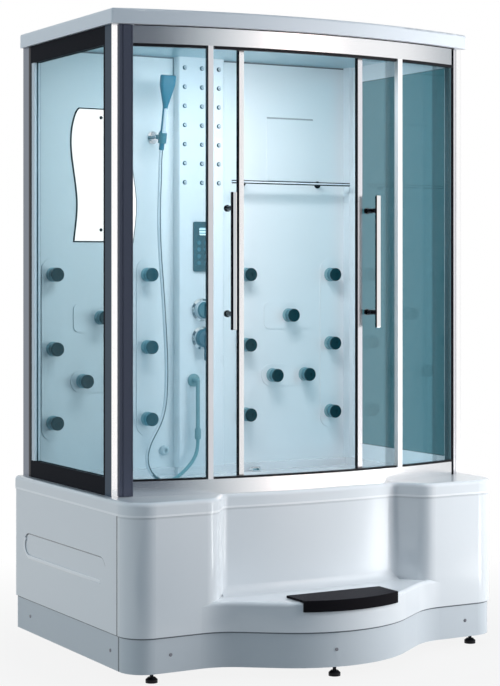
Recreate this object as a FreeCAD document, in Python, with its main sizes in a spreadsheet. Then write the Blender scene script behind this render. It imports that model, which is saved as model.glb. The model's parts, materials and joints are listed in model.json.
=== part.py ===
import FreeCAD, Part
import math
import os
import re
import Sketcher
from FreeCAD import Placement, Rotation, Vector

# Hydromassage shower cabin over a step-in tub, in millimetres.
# The origin is on the floor under the middle of the cabin: +X to the right, +Y to the wall, +Z up.
# Depths are distances in front of the back plane, which stands against the wall.

SIZES = {
    # Whole cabin
    "tub_width": 1482, "frame_depth": 769, "rim_height": 591, "cabin_height": 1621, "rim_margin": 31,
    "rim_ledge": 199, "step_reach": 200, "foot_height": 34, "overrun": 5, "fit_gap": 0.3,
    "running_gap": 0.05, "crown_share": 0.8, "edge_share": 0.6,
    # Bathtub
    "lip_height": 48, "lip_round": 14, "tub_wall": 6, "deck_drop": 29, "deck_back": 45, "deck_side": 75,
    "deck_front": 60, "basin_margin": 141, "basin_back": 105, "basin_front": 79, "basin_floor": 200,
    "basin_taper": 55, "basin_round": 110, "corner_radius": 95,
    # Aprons, plinths and the step
    "skirt_wall": 6, "skirt_inset": 3, "apron_bottom": 152, "step_height": 250, "pillar_half": 420,
    "pillar_round": 75, "bay_half": 345, "bay_ledge": 12, "bay_round": 30, "front_radius": 425,
    "swell_radius": 200, "swell_angle": 36, "step_round": 12, "side_seam": 101, "seam_gap": 2,
    "plinth_lap": 13,
    "recess_start": 79, "recess_end": 193, "recess_height": 90, "recess_depth": 3, "recess_middle": 347,
    # Step pad
    "pad_length": 370, "pad_depth": 150, "pad_wall": 8, "pad_lip": 30,
    # Support frame, feet and plinth screws
    "tube_size": 30, "tube_bottom": 110, "tube_margin": 101, "tube_setback": 30, "tube_start": 40,
    "cross_back": 150, "cross_front": 640, "upright_back": 75, "upright_setback": 168, "foot_radius": 20,
    "foot_pad": 18, "stem_radius": 6, "foot_setback": 48, "foot_back": 75, "centre_foot": 66,
    "nose_setback": 42, "screw_head": 6, "screw_cap": 3, "shank_radius": 2.5, "shank_length": 12,
    "screw_height": 92, "screw_start": 120, "screw_setback": 168, "screw_inset": 151, "centre_screw": 75,
    # Waste
    "waste_depth": 400, "waste_radius": 25, "waste_flange": 35, "flange_wall": 4, "strainer_hole": 4,
    "strainer_ring": 14, "strainer_holes": 6, "trap_radius": 34, "trap_bottom": 44, "trap_top": 108,
    "outlet_radius": 23, "outlet_bore": 20, "outlet_height": 78, "outlet_end": 30, "outlet_socket": 40,
    # Cover and ceiling
    "cover_height": 51, "cover_side": 11.5, "cover_front": 21, "cover_ledge": 30, "cover_skin": 6,
    "cover_round": 9, "ceiling_wall": 6,
    # Frame
    "bow_rise": 114, "post_front": 55, "post_side": 57, "post_wall": 24, "trim_front": 22, "trim_side": 3,
    "trim_wall": 1.5, "rear_post_width": 40, "rear_post_depth": 69, "rail_depth": 50, "bottom_rail": 50,
    "top_rail": 62, "side_bar_low": 61, "side_bar_high": 63, "side_stile_back": 36, "side_stile_front": 12,
    "glass_wall": 6, "glass_bite": 10, "fixed_inset": 5, "door_margin": 19, "stile_width": 22,
    "fixed_stile_depth": 18, "seal_gap": 0.2,
    # Doors
    "door_inset": 28, "door_overlap": 26, "door_gap": 1, "left_lap": 122, "right_lap": 171,
    "channel_width": 18, "channel_low": 12, "channel_high": 25, "door_stile_depth": 14,
    "stile_clear": 4, "runner_length": 45, "runner_inset": 30, "handle_length": 465, "handle_width": 20,
    "handle_wall": 10, "handle_reach": 45, "handle_rise": 784, "handle_inset": 55,
    "knob_spacing": 358, "knob_radius": 9, "knob_cap": 12, "knob_cap_wall": 8,
    # Back panels and their raised fields
    "wall_face": 24, "panel_wall": 5, "raise_height": 3, "field_width": 90, "field_below": 65,
    "field_above": 62, "plate_length": 222, "plate_height": 107, "plate_round": 24, "twin_length": 245,
    "twin_height": 87, "relief_left": 312, "relief_width": 213, "relief_drop": 264,
    "relief_height": 248, "relief_round": 6,
    # Column and its nozzles
    "column_width": 200, "column_reach": 40, "column_wall": 5, "column_round": 8, "nozzle_pitch": 74,
    "nozzle_drop": 92, "nozzle_rows": 7, "nozzle_step": 73.2, "nozzle_radius": 8.5, "nozzle_wall": 4,
    "nozzle_stem": 5, "nozzle_spout": 2, "nozzle_bore": 2,
    # Jets: their rows stand at these heights above the rim
    "jet_margin": 106.5, "jet_inner": 215, "jet_twin": 74, "jet_rise_1": 737, "jet_rise_2": 576,
    "jet_rise_3": 462, "jet_rise_4": 340, "jet_rise_5": 189, "socket_radius": 27, "socket_wall": 5,
    "sleeve_radius": 18, "sleeve_end": 17, "ball_radius": 14, "ball_depth": 33.3, "neck_radius": 9,
    "jet_radius": 26, "jet_back": 44, "jet_face": 75, "jet_round": 4, "jet_bore": 7, "jet_dish": 3,
    # Mirror, towel bar, control panel and steam outlet
    "mirror_inset": 185, "mirror_clear": 64, "mirror_rise": 857, "mirror_height": 504,
    "mirror_wall": 5, "mirror_wave": 20, "bar_left": 115, "bar_margin": 60, "bar_rise": 1096,
    "bar_radius": 7, "bar_reach": 75, "bracket_start": 86, "bracket_end": 105,
    "bracket_radius": 5, "bracket_foot": 14, "bracket_wall": 4, "panel_width": 76, "panel_rise": 147,
    "panel_height": 192, "panel_proud": 6, "panel_round": 6, "steam_side": 142, "steam_rise": 65,
    "steam_radius": 20, "steam_reach": 12, "steam_bore": 8,
    # Valves
    "mixer_rise": 493, "diverter_rise": 108, "rosette_radius": 44, "rosette_wall": 6,
    "valve_hole": 12, "dial_radius": 35, "dial_reach": 28, "dial_grip": 10, "dial_rib": 6,
    "shaft_radius": 6, "shaft_end": 48, "lever_width": 12, "lever_wall": 8, "lever_drop": 80,
    "valve_half": 88, "valve_margin": 44, "valve_back": 20, "valve_front": 58,
    "inlet_radius": 9.3, "inlet_length": 15, "inlet_side": 75,
    # Waste control knob on the tub's rear deck
    "waste_knob_side": 228, "waste_knob_depth": 75, "waste_knob_radius": 28, "waste_knob_wall": 12,
    "waste_knob_shaft": 6, "waste_shaft_length": 30, "waste_rib": 8, "waste_rib_wall": 5,
    # Shower set
    "shower_side": 190, "shower_rise": 1259, "pivot_depth": 76, "shower_foot": 24,
    "shower_foot_wall": 6, "arm_radius": 6.5, "lug_radius": 10, "lug_length": 14, "pin_radius": 4,
    "pin_length": 30, "ear_wall": 5, "ear_radius": 8, "sleeve_reach": 30, "holder_radius": 16,
    "holder_height": 40, "lean_angle": 12, "handle_radius": 10, "handle_below": 45,
    "collar_radius": 13, "collar_wall": 6, "neck_start": 120, "head_start": 200, "head_top": 238,
    "head_width": 62, "head_wall": 26, "head_round": 11, "hose_radius": 7, "hose_lead": 44, "hose_tail": 26,
    # Hose elbow
    "elbow_side": 36, "elbow_rise": 332, "elbow_depth": 100, "elbow_radius": 9, "elbow_foot": 25,
    "elbow_foot_wall": 5, "drop_radius": 8, "drop_length": 183, "nut_radius": 12, "nut_length": 40,
    # Pipes behind the panels
    "pipe_radius": 7, "pipe_depth": 9.7, "main_rise": 82, "chamber_half": 86, "chamber_back": 44,
    "chamber_margin": 20, "riser_side": 60, "riser_depth": 40,
}

# Sizes that follow from those above
DERIVED = {
    "frame_width": "tub_width - 2 * rim_margin",
    "tub_depth": "frame_depth + rim_ledge",
    "total_height": "rim_height + cabin_height",
    "basin_length": "tub_width - 2 * basin_margin",
    "basin_width": "frame_depth - basin_back - basin_front",
    "recess_length": "tub_depth - recess_start - recess_end",
    "tube_spread": "tub_width / 2 - tube_margin",
    "tube_front": "tub_depth - tube_setback",
    "upright_front": "tub_depth - upright_setback",
    "foot_front": "tub_depth - foot_setback",
    "centre_foot_depth": "tub_depth + step_reach - nose_setback",
    "side_screw_back": "screw_start",
    "side_screw_front": "tub_depth - screw_setback",
    "front_screw": "tub_width / 2 - screw_inset",
    "fixed_edge": "frame_width / 4 + door_margin",
    "left_opening": "fixed_edge - left_lap",
    "right_opening": "fixed_edge - right_lap",
    "handle_height": "rim_height + handle_rise",
    "jet_outer": "frame_width / 2 - jet_margin",
    "jet_row_1": "rim_height + jet_rise_1",
    "jet_row_2": "rim_height + jet_rise_2",
    "jet_row_3": "rim_height + jet_rise_3",
    "jet_row_4": "rim_height + jet_rise_4",
    "jet_row_5": "rim_height + jet_rise_5",
    "field_low": "jet_row_5 - field_below",
    "field_high": "jet_row_1 + field_above",
    "nozzle_top": "total_height - nozzle_drop",
    "relief_low": "total_height - relief_drop - relief_height",
    "mirror_left": "mirror_inset - frame_width / 2",
    "mirror_width": "frame_width / 2 - mirror_inset - shower_side - mirror_clear",
    "mirror_low": "rim_height + mirror_rise",
    "bar_right": "frame_width / 2 - bar_margin",
    "bar_height": "rim_height + bar_rise",
    "bar_bracket_left": "bar_left + bracket_start",
    "bar_bracket_right": "bar_right - bracket_end",
    "mixer_height": "rim_height + mixer_rise",
    "diverter_height": "mixer_height + diverter_rise",
    "valve_low": "mixer_height - valve_margin",
    "valve_high": "diverter_height + valve_margin",
    "inlet_height": "(mixer_height + diverter_height) / 2",
    "panel_low": "diverter_height + panel_rise",
    "steam_height": "rim_height + steam_rise",
    "shower_height": "rim_height + shower_rise",
    "elbow_height": "rim_height + elbow_rise",
    "drop_end": "elbow_height - drop_length",
    "nut_end": "drop_end - nut_length",
    "main_height": "jet_row_1 + main_rise",
}

doc = FreeCAD.newDocument("shower_cabin")
dims = doc.addObject("Spreadsheet::Sheet", "dims")
for row, (name, value) in enumerate(SIZES.items(), 1):
    dims.set(f"A{row}", name)
    dims.set(f"B{row}", str(value))
    dims.setAlias(f"B{row}", name)
doc.recompute()

parts = []


def cell(word):
    """A size's cell in the sheet, or the expression that a derived size stands for."""
    name = word[0]
    if name in DERIVED:
        return f"({bound(DERIVED[name])})"
    return "dims." + name if name in SIZES else name


def bound(text):
    """The expression with each size's name turned into its cell in the sheet."""
    return re.sub(r"[a-z_]\w*", cell, text)


def size(text):
    """The number that an expression of sizes gives."""
    return float(dims.evalExpression(bound(text)))


BACK = "(tub_depth + step_reach + pad_wall - skirt_inset) / 2"


def front(depth):
    """The y of a depth in front of the back plane."""
    return f"({BACK} - ({depth}))"


def part(node, obj):
    """Make an object one of the cabin's pieces, under its node's name."""
    obj.Label = node
    parts.append(obj)
    return obj


def set_base(obj, x, y, z):
    for axis, text in zip("xyz", (x, y, z)):
        obj.setExpression(f"Placement.Base.{axis}", bound(text))


def box(name, x, depth, z):
    """A box between pairs of expressions: x from and to, depth from and to, z from and to."""
    obj = doc.addObject("Part::Box", name)
    obj.setExpression("Length", bound(f"({x[1]}) - ({x[0]})"))
    obj.setExpression("Width", bound(f"({depth[1]}) - ({depth[0]})"))
    obj.setExpression("Height", bound(f"({z[1]}) - ({z[0]})"))
    set_base(obj, x[0], front(depth[1]), z[0])
    return obj


TURNS = {"x": Rotation(Vector(0, 1, 0), 90), "front": Rotation(Vector(1, 0, 0), 90), "z": Rotation()}


def rod(name, radius, length, axis, x, depth, z):
    """A cylinder from its start point along +X, to the front or up."""
    obj = doc.addObject("Part::Cylinder", name)
    obj.setExpression("Radius", bound(radius))
    obj.setExpression("Height", bound(length))
    obj.Placement = Placement(Vector(), TURNS[axis])
    set_base(obj, x, front(depth), z)
    return obj


def fuse(name, *members):
    obj = doc.addObject("Part::MultiFuse", name)
    obj.Shapes = list(members)
    return obj


def cut(name, base, *tools):
    obj = doc.addObject("Part::Cut", name)
    obj.Base = base
    obj.Tool = tools[0] if len(tools) == 1 else fuse(name + "_tools", *tools)
    return obj


def group(name, *members):
    """Separate solids of one node."""
    obj = doc.addObject("Part::Compound", name)
    obj.Links = list(members)
    return obj


def outline_sketch(body, role, points):
    """A closed outline whose corners are bound to expressions of sizes."""
    sketch = body.newObject("Sketcher::SketchObject", body.Name + "_outline")
    sketch.AttachmentSupport = [(next(o for o in body.Origin.OriginFeatures if o.Role == role), "")]
    sketch.MapMode = "FlatFace"
    corners = [Vector(size(x), size(y), 0) for x, y in points]
    for here, there in zip(corners, corners[1:] + corners[:1]):
        sketch.addGeometry(Part.LineSegment(here, there), False)
    for edge in range(len(points)):
        sketch.addConstraint(Sketcher.Constraint("Coincident", edge, 2, (edge + 1) % len(points), 1))
    for edge, (point, corner) in enumerate(zip(points, corners)):
        for kind, axis, text, value in (("DistanceX", -2, point[0], corner.x),
                                        ("DistanceY", -1, point[1], corner.y)):
            if text == "0":
                sketch.addConstraint(Sketcher.Constraint("PointOnObject", edge, 1, axis))
            else:
                index = sketch.addConstraint(Sketcher.Constraint(kind, -1, 1, edge, 1, value))
                sketch.setExpression(f"Constraints[{index}]", bound(text))
    return sketch


def turned(name, profile, axis, x, depth, z):
    """A turned body: its profile holds pairs of radius and distance along the axis."""
    body = doc.addObject("PartDesign::Body", name)
    sketch = outline_sketch(body, "XZ_Plane", profile)
    turn = body.newObject("PartDesign::Revolution", name + "_turn")
    turn.Profile = sketch
    turn.ReferenceAxis = (sketch, ["V_Axis"])
    turn.Angle = 360
    body.Placement = Placement(Vector(), TURNS[axis])
    set_base(body, x, front(depth), z)
    return body


def padded(name, outline, low, high):
    """A body padded up from a plan outline of x and depth pairs."""
    body = doc.addObject("PartDesign::Body", name)
    sketch = outline_sketch(body, "XY_Plane", [(x, front(depth)) for x, depth in outline])
    pad = body.newObject("PartDesign::Pad", name + "_pad")
    pad.Profile = sketch
    pad.setExpression("Length", bound(f"({high}) - ({low})"))
    set_base(body, "0", "0", low)
    return body


def feature(name, shape):
    """A piece whose curved shape is worked out below from the sheet's sizes."""
    obj = doc.addObject("Part::Feature", name)
    obj.Shape = shape
    return obj


def copies(name, master, places):
    """Copies of one finished body, moved by vectors, as the separate solids of one node."""
    doc.recompute()
    return feature(name, Part.makeCompound([master.Shape.translated(place) for place in places]))


# Shared numbers of the curved pieces
OVERRUN = size("overrun")
back_y = size(BACK)
bow_radius = size("((frame_width / 2)^2 + bow_rise^2) / (2 * bow_rise)")
bow_depth = size("frame_depth + bow_rise") - bow_radius
bow_y = back_y - bow_depth
FRAME_TOP = "total_height - cover_height"
DECK = "rim_height - deck_drop"
COLUMN_FACE = "wall_face + column_reach"


def at(x, depth, z=0):
    return Vector(x, back_y - depth, z)


def prism(face, low, high):
    return face.translated(Vector(0, 0, low)).extrude(Vector(0, 0, high - low))


def block(x, depth, z):
    """A plain block between numbers, for cutting."""
    corner = at(x[0], depth[1], z[0])
    return Part.makeBox(x[1] - x[0], depth[1] - depth[0], z[1] - z[0], corner)


def face_of(*edges):
    return Part.Face(Part.Wire(list(edges)))


def line(start, end):
    return Part.LineSegment(start, end).toShape()


def arc(start, middle, end):
    return Part.Arc(start, middle, end).toShape()


def rounded_face(width, depth, radius, middle):
    """A rectangle with round corners, flat at its middle's height."""
    plate = Part.makePlane(width, depth, middle - Vector(width / 2, depth / 2, 0))
    solid = plate.extrude(Vector(0, 0, OVERRUN))
    upright = [edge for edge in solid.Edges if abs(edge.Vertexes[0].Z - edge.Vertexes[-1].Z) > OVERRUN / 2]
    solid = solid.makeFillet(radius, upright)
    return min(solid.Faces, key=lambda face: face.CenterOfMass.z)


def bow_sector(inner, outer, start, end, low, high):
    """A piece of a ring about the bow's axis, between angles in degrees from straight ahead to the right."""
    middle = Vector(0, bow_y, low)
    ring = Part.makeCylinder(outer, high - low, middle, Vector(0, 0, 1), end - start)
    ring = ring.cut(Part.makeCylinder(inner, high - low, middle, Vector(0, 0, 1), end - start))
    ring.rotate(middle, Vector(0, 0, 1), start - 90)
    return ring


def bow_angle(x, radius):
    return math.degrees(math.asin(x / radius))


def upright_edges(shape, middle, reach):
    """The vertical edges of a shape that stand within reach of a distance from its middle plane."""
    found = []
    for edge in shape.Edges:
        ends = edge.Vertexes
        rise = abs(ends[0].Z - ends[-1].Z)
        upright = rise > 0 and math.isclose(rise, edge.Length)
        if upright and abs(abs(ends[0].X) - middle) < reach:
            found.append(edge)
    return found


# Plan outlines of the tub's rim and of the step
half = size("tub_width / 2")
deep = size("tub_depth")
round_corner = size("corner_radius")
pillar = size("pillar_half")
bay = size("bay_half")
bay_radius = bow_radius + size("bay_ledge")
diagonal = math.sqrt(0.5)
corner_left = [at(-half, deep - round_corner), at(-half + round_corner * (1 - diagonal),
               deep - round_corner * (1 - diagonal)), at(-half + round_corner, deep)]
corner_right = [Vector(-point.x, point.y, 0) for point in reversed(corner_left)]


def bay_point(x):
    return at(x, bow_depth + math.sqrt(bay_radius ** 2 - x ** 2))


def rim_outline():
    """The rim: straight back and sides, round corners, a pillar at each side and a bowed bay between."""
    raw = face_of(line(at(half, 0), at(-half, 0)), line(at(-half, 0), corner_left[0]), arc(*corner_left),
                  line(corner_left[2], at(-pillar, deep)), line(at(-pillar, deep), bay_point(-bay)),
                  arc(bay_point(-bay), bay_point(0), bay_point(bay)),
                  line(bay_point(bay), at(pillar, deep)),
                  line(at(pillar, deep), corner_right[0]), arc(*corner_right),
                  line(corner_right[2], at(half, 0)))
    solid = prism(raw, 0, OVERRUN)
    for middle, radius in ((pillar, size("pillar_round")), (bay, size("bay_round"))):
        solid = solid.makeFillet(radius, upright_edges(solid, middle, size("bay_round") / 2))
    return min(solid.Faces, key=lambda face: face.CenterOfMass.z)


def step_outline():
    """The step: the pillars' line swells through two tangent arcs into a round nose."""
    nose = size("front_radius")
    swell = size("swell_radius")
    turn = math.radians(size("swell_angle"))
    reach = size("step_reach")
    slope = (reach - (nose + swell) * (1 - math.cos(turn))) / math.sin(turn)
    start = (nose + swell) * math.sin(turn) + slope * math.cos(turn)

    def swell_point(angle, side):
        return at(side * (start - swell * math.sin(angle)), deep + swell * (1 - math.cos(angle)))

    def nose_point(angle):
        return at(nose * math.sin(angle), deep + reach - nose * (1 - math.cos(angle)))

    return face_of(line(at(half, 0), at(-half, 0)), line(at(-half, 0), corner_left[0]), arc(*corner_left),
                   line(corner_left[2], swell_point(0, -1)),
                   arc(swell_point(0, -1), swell_point(turn / 2, -1), swell_point(turn, -1)),
                   line(swell_point(turn, -1), nose_point(-turn)),
                   arc(nose_point(-turn), nose_point(0), nose_point(turn)),
                   line(nose_point(turn), swell_point(turn, 1)),
                   arc(swell_point(turn, 1), swell_point(turn / 2, 1), swell_point(0, 1)),
                   line(swell_point(0, 1), corner_right[0]), arc(*corner_right),
                   line(corner_right[2], at(half, 0)))


def inset(face, distance):
    return face.makeOffset2D(-distance)


rim_face = rim_outline()
step_face = step_outline()
rim_top = size("rim_height")
lip_bottom = size("rim_height - lip_height")
deck_top = size(DECK)
tub_wall = size("tub_wall")


# Bathtub: a rim with a turned-down lip, a lowered deck inside the glass and a tapered basin
def basin(grow, low, high):
    """The tapered basin block, grown outwards by a wall."""
    length = size("basin_length") + 2 * grow
    width = size("basin_width") + 2 * grow
    taper = size("basin_taper")
    middle = at(0, size("basin_back + basin_width / 2"))
    corner = size("basin_round") + grow
    top = rounded_face(length, width, corner, middle + Vector(0, 0, high))
    bottom = rounded_face(length - 2 * taper, width - 2 * taper, corner - taper, middle + Vector(0, 0, low))
    return Part.makeLoft([bottom.OuterWire, top.OuterWire], True, True)


def make_bathtub():
    rim = prism(rim_face, lip_bottom, rim_top)
    top_edges = [edge for edge in rim.Edges
                 if min(v.Z for v in edge.Vertexes) > rim_top - OVERRUN
                 and edge.CenterOfMass.y < back_y - OVERRUN]
    rim = rim.makeFillet(size("lip_round"), top_edges)
    side = half - size("deck_side")
    deck_radius = bow_radius - size("deck_front")
    side_depth = bow_depth + math.sqrt(deck_radius ** 2 - side ** 2)
    deck_back = size("deck_back")
    deck = face_of(line(at(side, deck_back), at(-side, deck_back)),
                   line(at(-side, deck_back), at(-side, side_depth)),
                   arc(at(-side, side_depth), at(0, bow_depth + deck_radius), at(side, side_depth)),
                   line(at(side, side_depth), at(side, deck_back)))
    sill_half = size("column_width / 2") + OVERRUN
    sill = block((-sill_half, sill_half), (deck_back, size(COLUMN_FACE) + OVERRUN), (deck_top, rim_top))
    rim = rim.cut(prism(deck, deck_top, rim_top + OVERRUN).cut(sill))
    rim = rim.cut(prism(inset(rim_face, tub_wall), lip_bottom - OVERRUN, deck_top - tub_wall))
    floor = size("basin_floor")
    shell = basin(tub_wall, floor - tub_wall, deck_top - tub_wall)
    tub = rim.fuse(shell).cut(basin(0, floor, deck_top))
    up = Vector(0, 0, 1)
    waste = Part.makeCylinder(size("waste_radius + fit_gap"), 2 * tub_wall + OVERRUN,
                              at(0, size("waste_depth"), floor - tub_wall - OVERRUN), up)
    knob = Part.makeCylinder(size("waste_knob_shaft + running_gap"), 2 * tub_wall + OVERRUN,
                             at(size("waste_knob_side"), size("waste_knob_depth"),
                                deck_top - tub_wall - OVERRUN), up)
    return tub.cut(waste).cut(knob).removeSplitter()


part("bathtub", feature("bathtub", make_bathtub()))

# Front apron: pillars and bay above the step, one wall thick
wall = size("skirt_wall")
skirt = size("skirt_inset")
apron_low = size("apron_bottom")
tread = size("step_height")
seam_depth = size("tub_depth - side_seam")
inside_depth = bow_depth + math.sqrt(bay_radius ** 2 - pillar ** 2) - size("deck_front")


def front_shell(outer, inner, low, high, inner_high):
    """A skirt's front half: its corners end at the side seams and its back is open."""
    shell = outer.cut(prism(inner, low - OVERRUN, inner_high))
    shell = shell.cut(block((-half, half), (-OVERRUN, inside_depth), (low - OVERRUN, high + OVERRUN)))
    for side in (-1, 1):
        ends = sorted((side * (pillar + size("bay_round")), side * (half + OVERRUN)))
        shell = shell.cut(block(ends, (-OVERRUN, seam_depth), (low - OVERRUN, high + OVERRUN)))
    return shell


def make_front_apron():
    low_block = prism(inset(step_face, skirt), apron_low, tread)
    nosing = [edge for edge in low_block.Edges if min(v.Z for v in edge.Vertexes) > tread - OVERRUN
              and edge.CenterOfMass.y < back_y - deep]
    low_block = low_block.makeFillet(size("step_round"), nosing)
    low_shell = front_shell(low_block, inset(step_face, skirt + wall), apron_low, tread, tread - wall)
    foot = tread - size("step_round")
    high_block = prism(inset(rim_face, skirt), foot, lip_bottom)
    high_shell = front_shell(high_block, inset(rim_face, skirt + wall), foot, lip_bottom,
                             lip_bottom + OVERRUN)
    return low_shell.fuse(high_shell).removeSplitter()


part("front_apron", feature("front_apron", make_front_apron()))

# Front plinth: the step's outline, lapped behind the apron
plinth_out = skirt + wall + size("fit_gap")
plinth_low = size("foot_height")
plinth_high = size("apron_bottom + plinth_lap")
plinth_block = prism(inset(step_face, plinth_out), plinth_low, plinth_high)
front_plinth = front_shell(plinth_block, inset(step_face, plinth_out + wall), plinth_low, plinth_high,
                           plinth_high + OVERRUN)

# Screws through the plinths
SCREW = [("0", "-screw_cap"), ("screw_head * edge_share", "-screw_cap"),
         ("screw_head", "-screw_cap * (1 - edge_share)"),
         ("screw_head", "0"), ("shank_radius", "0"), ("shank_radius", "shank_length"),
         ("0", "shank_length")]
screw = turned("screw", SCREW, "z", "0", BACK, "0")
doc.recompute()
screw_z = size("screw_height")
nose_turn = math.degrees(math.asin(size("centre_screw / front_radius")))
nose_middle = at(0, size("tub_depth + step_reach - front_radius"), screw_z)
nose_skin = size("front_radius") - plinth_out
side_skin = half - plinth_out


nose_normal = Rotation(Vector(0, 0, 1), -nose_turn).multVec(Vector(0, -1, 0))
screw_seats = [(nose_middle + nose_normal * nose_skin, nose_normal * -1)]
for side in (-1, 1):
    screw_seats.append((at(side * size("front_screw"), deep - plinth_out, screw_z), Vector(0, 1, 0)))
    for depth in ("side_screw_back", "side_screw_front"):
        screw_seats.append((at(side * side_skin, size(depth), screw_z), Vector(-side, 0, 0)))


def seated_screw(seat, inward):
    copy = screw.Shape.copy()
    copy.Placement = Placement(seat, Rotation(Vector(0, 0, 1), inward))
    return copy


def screw_hole(seat, inward):
    return Part.makeCylinder(size("shank_radius + fit_gap"), size("shank_length") + OVERRUN,
                             seat - inward * OVERRUN, inward)


for seat, inward in screw_seats[:1] + [s for s in screw_seats if s[1].y > 0.5][1:]:
    front_plinth = front_plinth.cut(screw_hole(seat, inward))
part("front_plinth", feature("front_plinth", front_plinth))
part("plinth_screws", feature("plinth_screws",
                              Part.makeCompound([seated_screw(*seat) for seat in screw_seats])))

# Side aprons with a long round-ended recess, and side plinths lapped behind them
SEAM = "(tub_depth - side_seam - seam_gap)"
for hand, side in (("left", -1), ("right", 1)):
    def across(outer, inner):
        """An x range on this side, from its outer and inner distance from the middle."""
        return (f"-({outer})", f"-({inner})") if side < 0 else (inner, outer)

    SKIN = "(tub_width / 2 - skirt_inset)"
    panel = box(hand + "_apron_panel", across(SKIN, SKIN + " - skirt_wall"), ("0", SEAM),
                ("apron_bottom", "rim_height - lip_height"))
    recess_x = (SKIN + " + overrun", SKIN + " - recess_depth")
    reach = "recess_depth + overrun"
    low = "recess_middle - recess_height / 2"
    flat = box(hand + "_recess", across(*recess_x),
               ("recess_start + recess_height / 2", "recess_start + recess_length - recess_height / 2"),
               (low, low + " + recess_height"))
    ends = [rod(f"{hand}_recess_end_{index}", "recess_height / 2", reach, "x", across(*recess_x)[0], depth,
                "recess_middle")
            for index, depth in enumerate(("recess_start + recess_height / 2",
                                           "recess_start + recess_length - recess_height / 2"))]
    part(hand + "_apron", cut(hand + "_apron", panel, flat, *ends))
    LAP = "(tub_width / 2 - skirt_inset - skirt_wall - fit_gap)"
    plinth = box(hand + "_plinth_panel", across(LAP, LAP + " - skirt_wall"), ("0", SEAM),
                 ("foot_height", "apron_bottom + plinth_lap"))
    holes = [rod(f"{hand}_plinth_hole_{index}", "shank_radius + fit_gap", "skirt_wall + 2 * overrun", "x",
                 across(LAP + " + overrun", LAP + " - skirt_wall - overrun")[0], depth, "screw_height")
             for index, depth in enumerate(("side_screw_back", "side_screw_front"))]
    part(hand + "_plinth", cut(hand + "_plinth", plinth, *holes))


# Step pad: a tread plate that follows the nose, with a lip turned down over its edge
def make_step_pad():
    nose = size("front_radius") - skirt
    middle_depth = size("tub_depth + step_reach - front_radius")
    top = tread + size("pad_wall")
    lip = size("pad_wall")
    long = size("pad_length")
    start = middle_depth + nose - size("pad_depth")
    up = Vector(0, 0, 1)
    outer = Part.makeCylinder(nose + lip, top - tread + size("pad_lip"),
                              at(0, middle_depth, tread - size("pad_lip")), up)
    keep = block((-long / 2, long / 2), (start, size("tub_depth + step_reach") + lip),
                 (tread - size("pad_lip"), top))
    body = outer.common(keep)
    nosing = Part.makeCylinder(nose + size("fit_gap"), size("pad_lip") + OVERRUN,
                               at(0, middle_depth, tread - size("pad_lip") - OVERRUN), up)
    return body.cut(nosing).removeSplitter()


part("step_pad", feature("step_pad", make_step_pad()))

# Support frame of square tube, standing on screwed feet
TUBE = ("tube_bottom", "tube_bottom + tube_size")
spread = ("tube_spread - tube_size / 2", "tube_spread + tube_size / 2")
bars = []
for side in (-1, 1):
    x = spread if side > 0 else tuple("-(" + end + ")" for end in reversed(spread))
    bars.append(box("side_tube", x, ("tube_start", "tube_front"), TUBE))
    for depth in ("upright_back", "upright_front"):
        bars.append(box("upright", x, (f"{depth} - tube_size / 2", f"{depth} + tube_size / 2"),
                        ("tube_bottom", DECK + " - tub_wall")))
for depth in ("cross_back", "cross_front"):
    bars.append(box("cross_tube", ("-tube_spread", "tube_spread"),
                    (f"{depth} - tube_size / 2", f"{depth} + tube_size / 2"), TUBE))
bars.append(box("step_tube", ("-centre_foot - tube_size / 2", "-centre_foot + tube_size / 2"),
                ("cross_front", "centre_foot_depth + tube_size / 2"), TUBE))
part("support_frame", fuse("support_frame", *bars))

FOOT = [("0", "0"), ("foot_radius", "0"), ("foot_radius", "foot_pad * edge_share"),
        ("foot_radius * edge_share", "foot_pad"),
        ("stem_radius", "foot_pad"), ("stem_radius", "tube_bottom"), ("0", "tube_bottom")]
foot = turned("foot", FOOT, "z", "0", BACK, "0")
foot_places = [at(-size("centre_foot"), size("centre_foot_depth"))]
foot_places += [at(side * size("tube_spread"), size(depth))
                for side in (-1, 1) for depth in ("foot_front", "foot_back")]
part("levelling_feet", copies("levelling_feet", foot, foot_places))


# Tub waste: strainer in the basin's floor, trap below it and a socket to the back
def make_waste():
    up = Vector(0, 0, 1)
    floor = size("basin_floor")
    depth = size("waste_depth")
    flange = Part.makeCylinder(size("waste_flange"), size("flange_wall"), at(0, depth, floor), up)
    count = int(size("strainer_holes"))
    for index in range(count):
        turn = 2 * math.pi * index / count
        ring = size("strainer_ring")
        flange = flange.cut(Part.makeCylinder(size("strainer_hole"), size("flange_wall") + 2 * OVERRUN,
                                              at(ring * math.cos(turn), depth + ring * math.sin(turn),
                                                 floor - OVERRUN), up))
    body = Part.makeCylinder(size("waste_radius"), floor - size("trap_top"),
                             at(0, depth, size("trap_top")), up)
    body = body.cut(Part.makeCylinder(size("outlet_bore"), floor, at(0, depth, size("trap_top")), up))
    trap = Part.makeCylinder(size("trap_radius"), size("trap_top - trap_bottom"),
                             at(0, depth, size("trap_bottom")), up)
    end = size("outlet_end")
    pipe = Part.makeCylinder(size("outlet_radius"), depth - end, at(0, depth, size("outlet_height")),
                             Vector(0, 1, 0))
    socket = Part.makeCylinder(size("outlet_bore"), size("outlet_socket") + OVERRUN,
                               at(0, end + size("outlet_socket"), size("outlet_height")), Vector(0, 1, 0))
    return flange.fuse([body, trap, pipe]).cut(socket).removeSplitter()


part("tub_waste", feature("tub_waste", make_waste()))

# Top cover with a bowed front, and the ceiling panel inside its ledge
cover_half = size("frame_width / 2 + cover_side")
cover_radius = bow_radius + size("cover_front")


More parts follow.
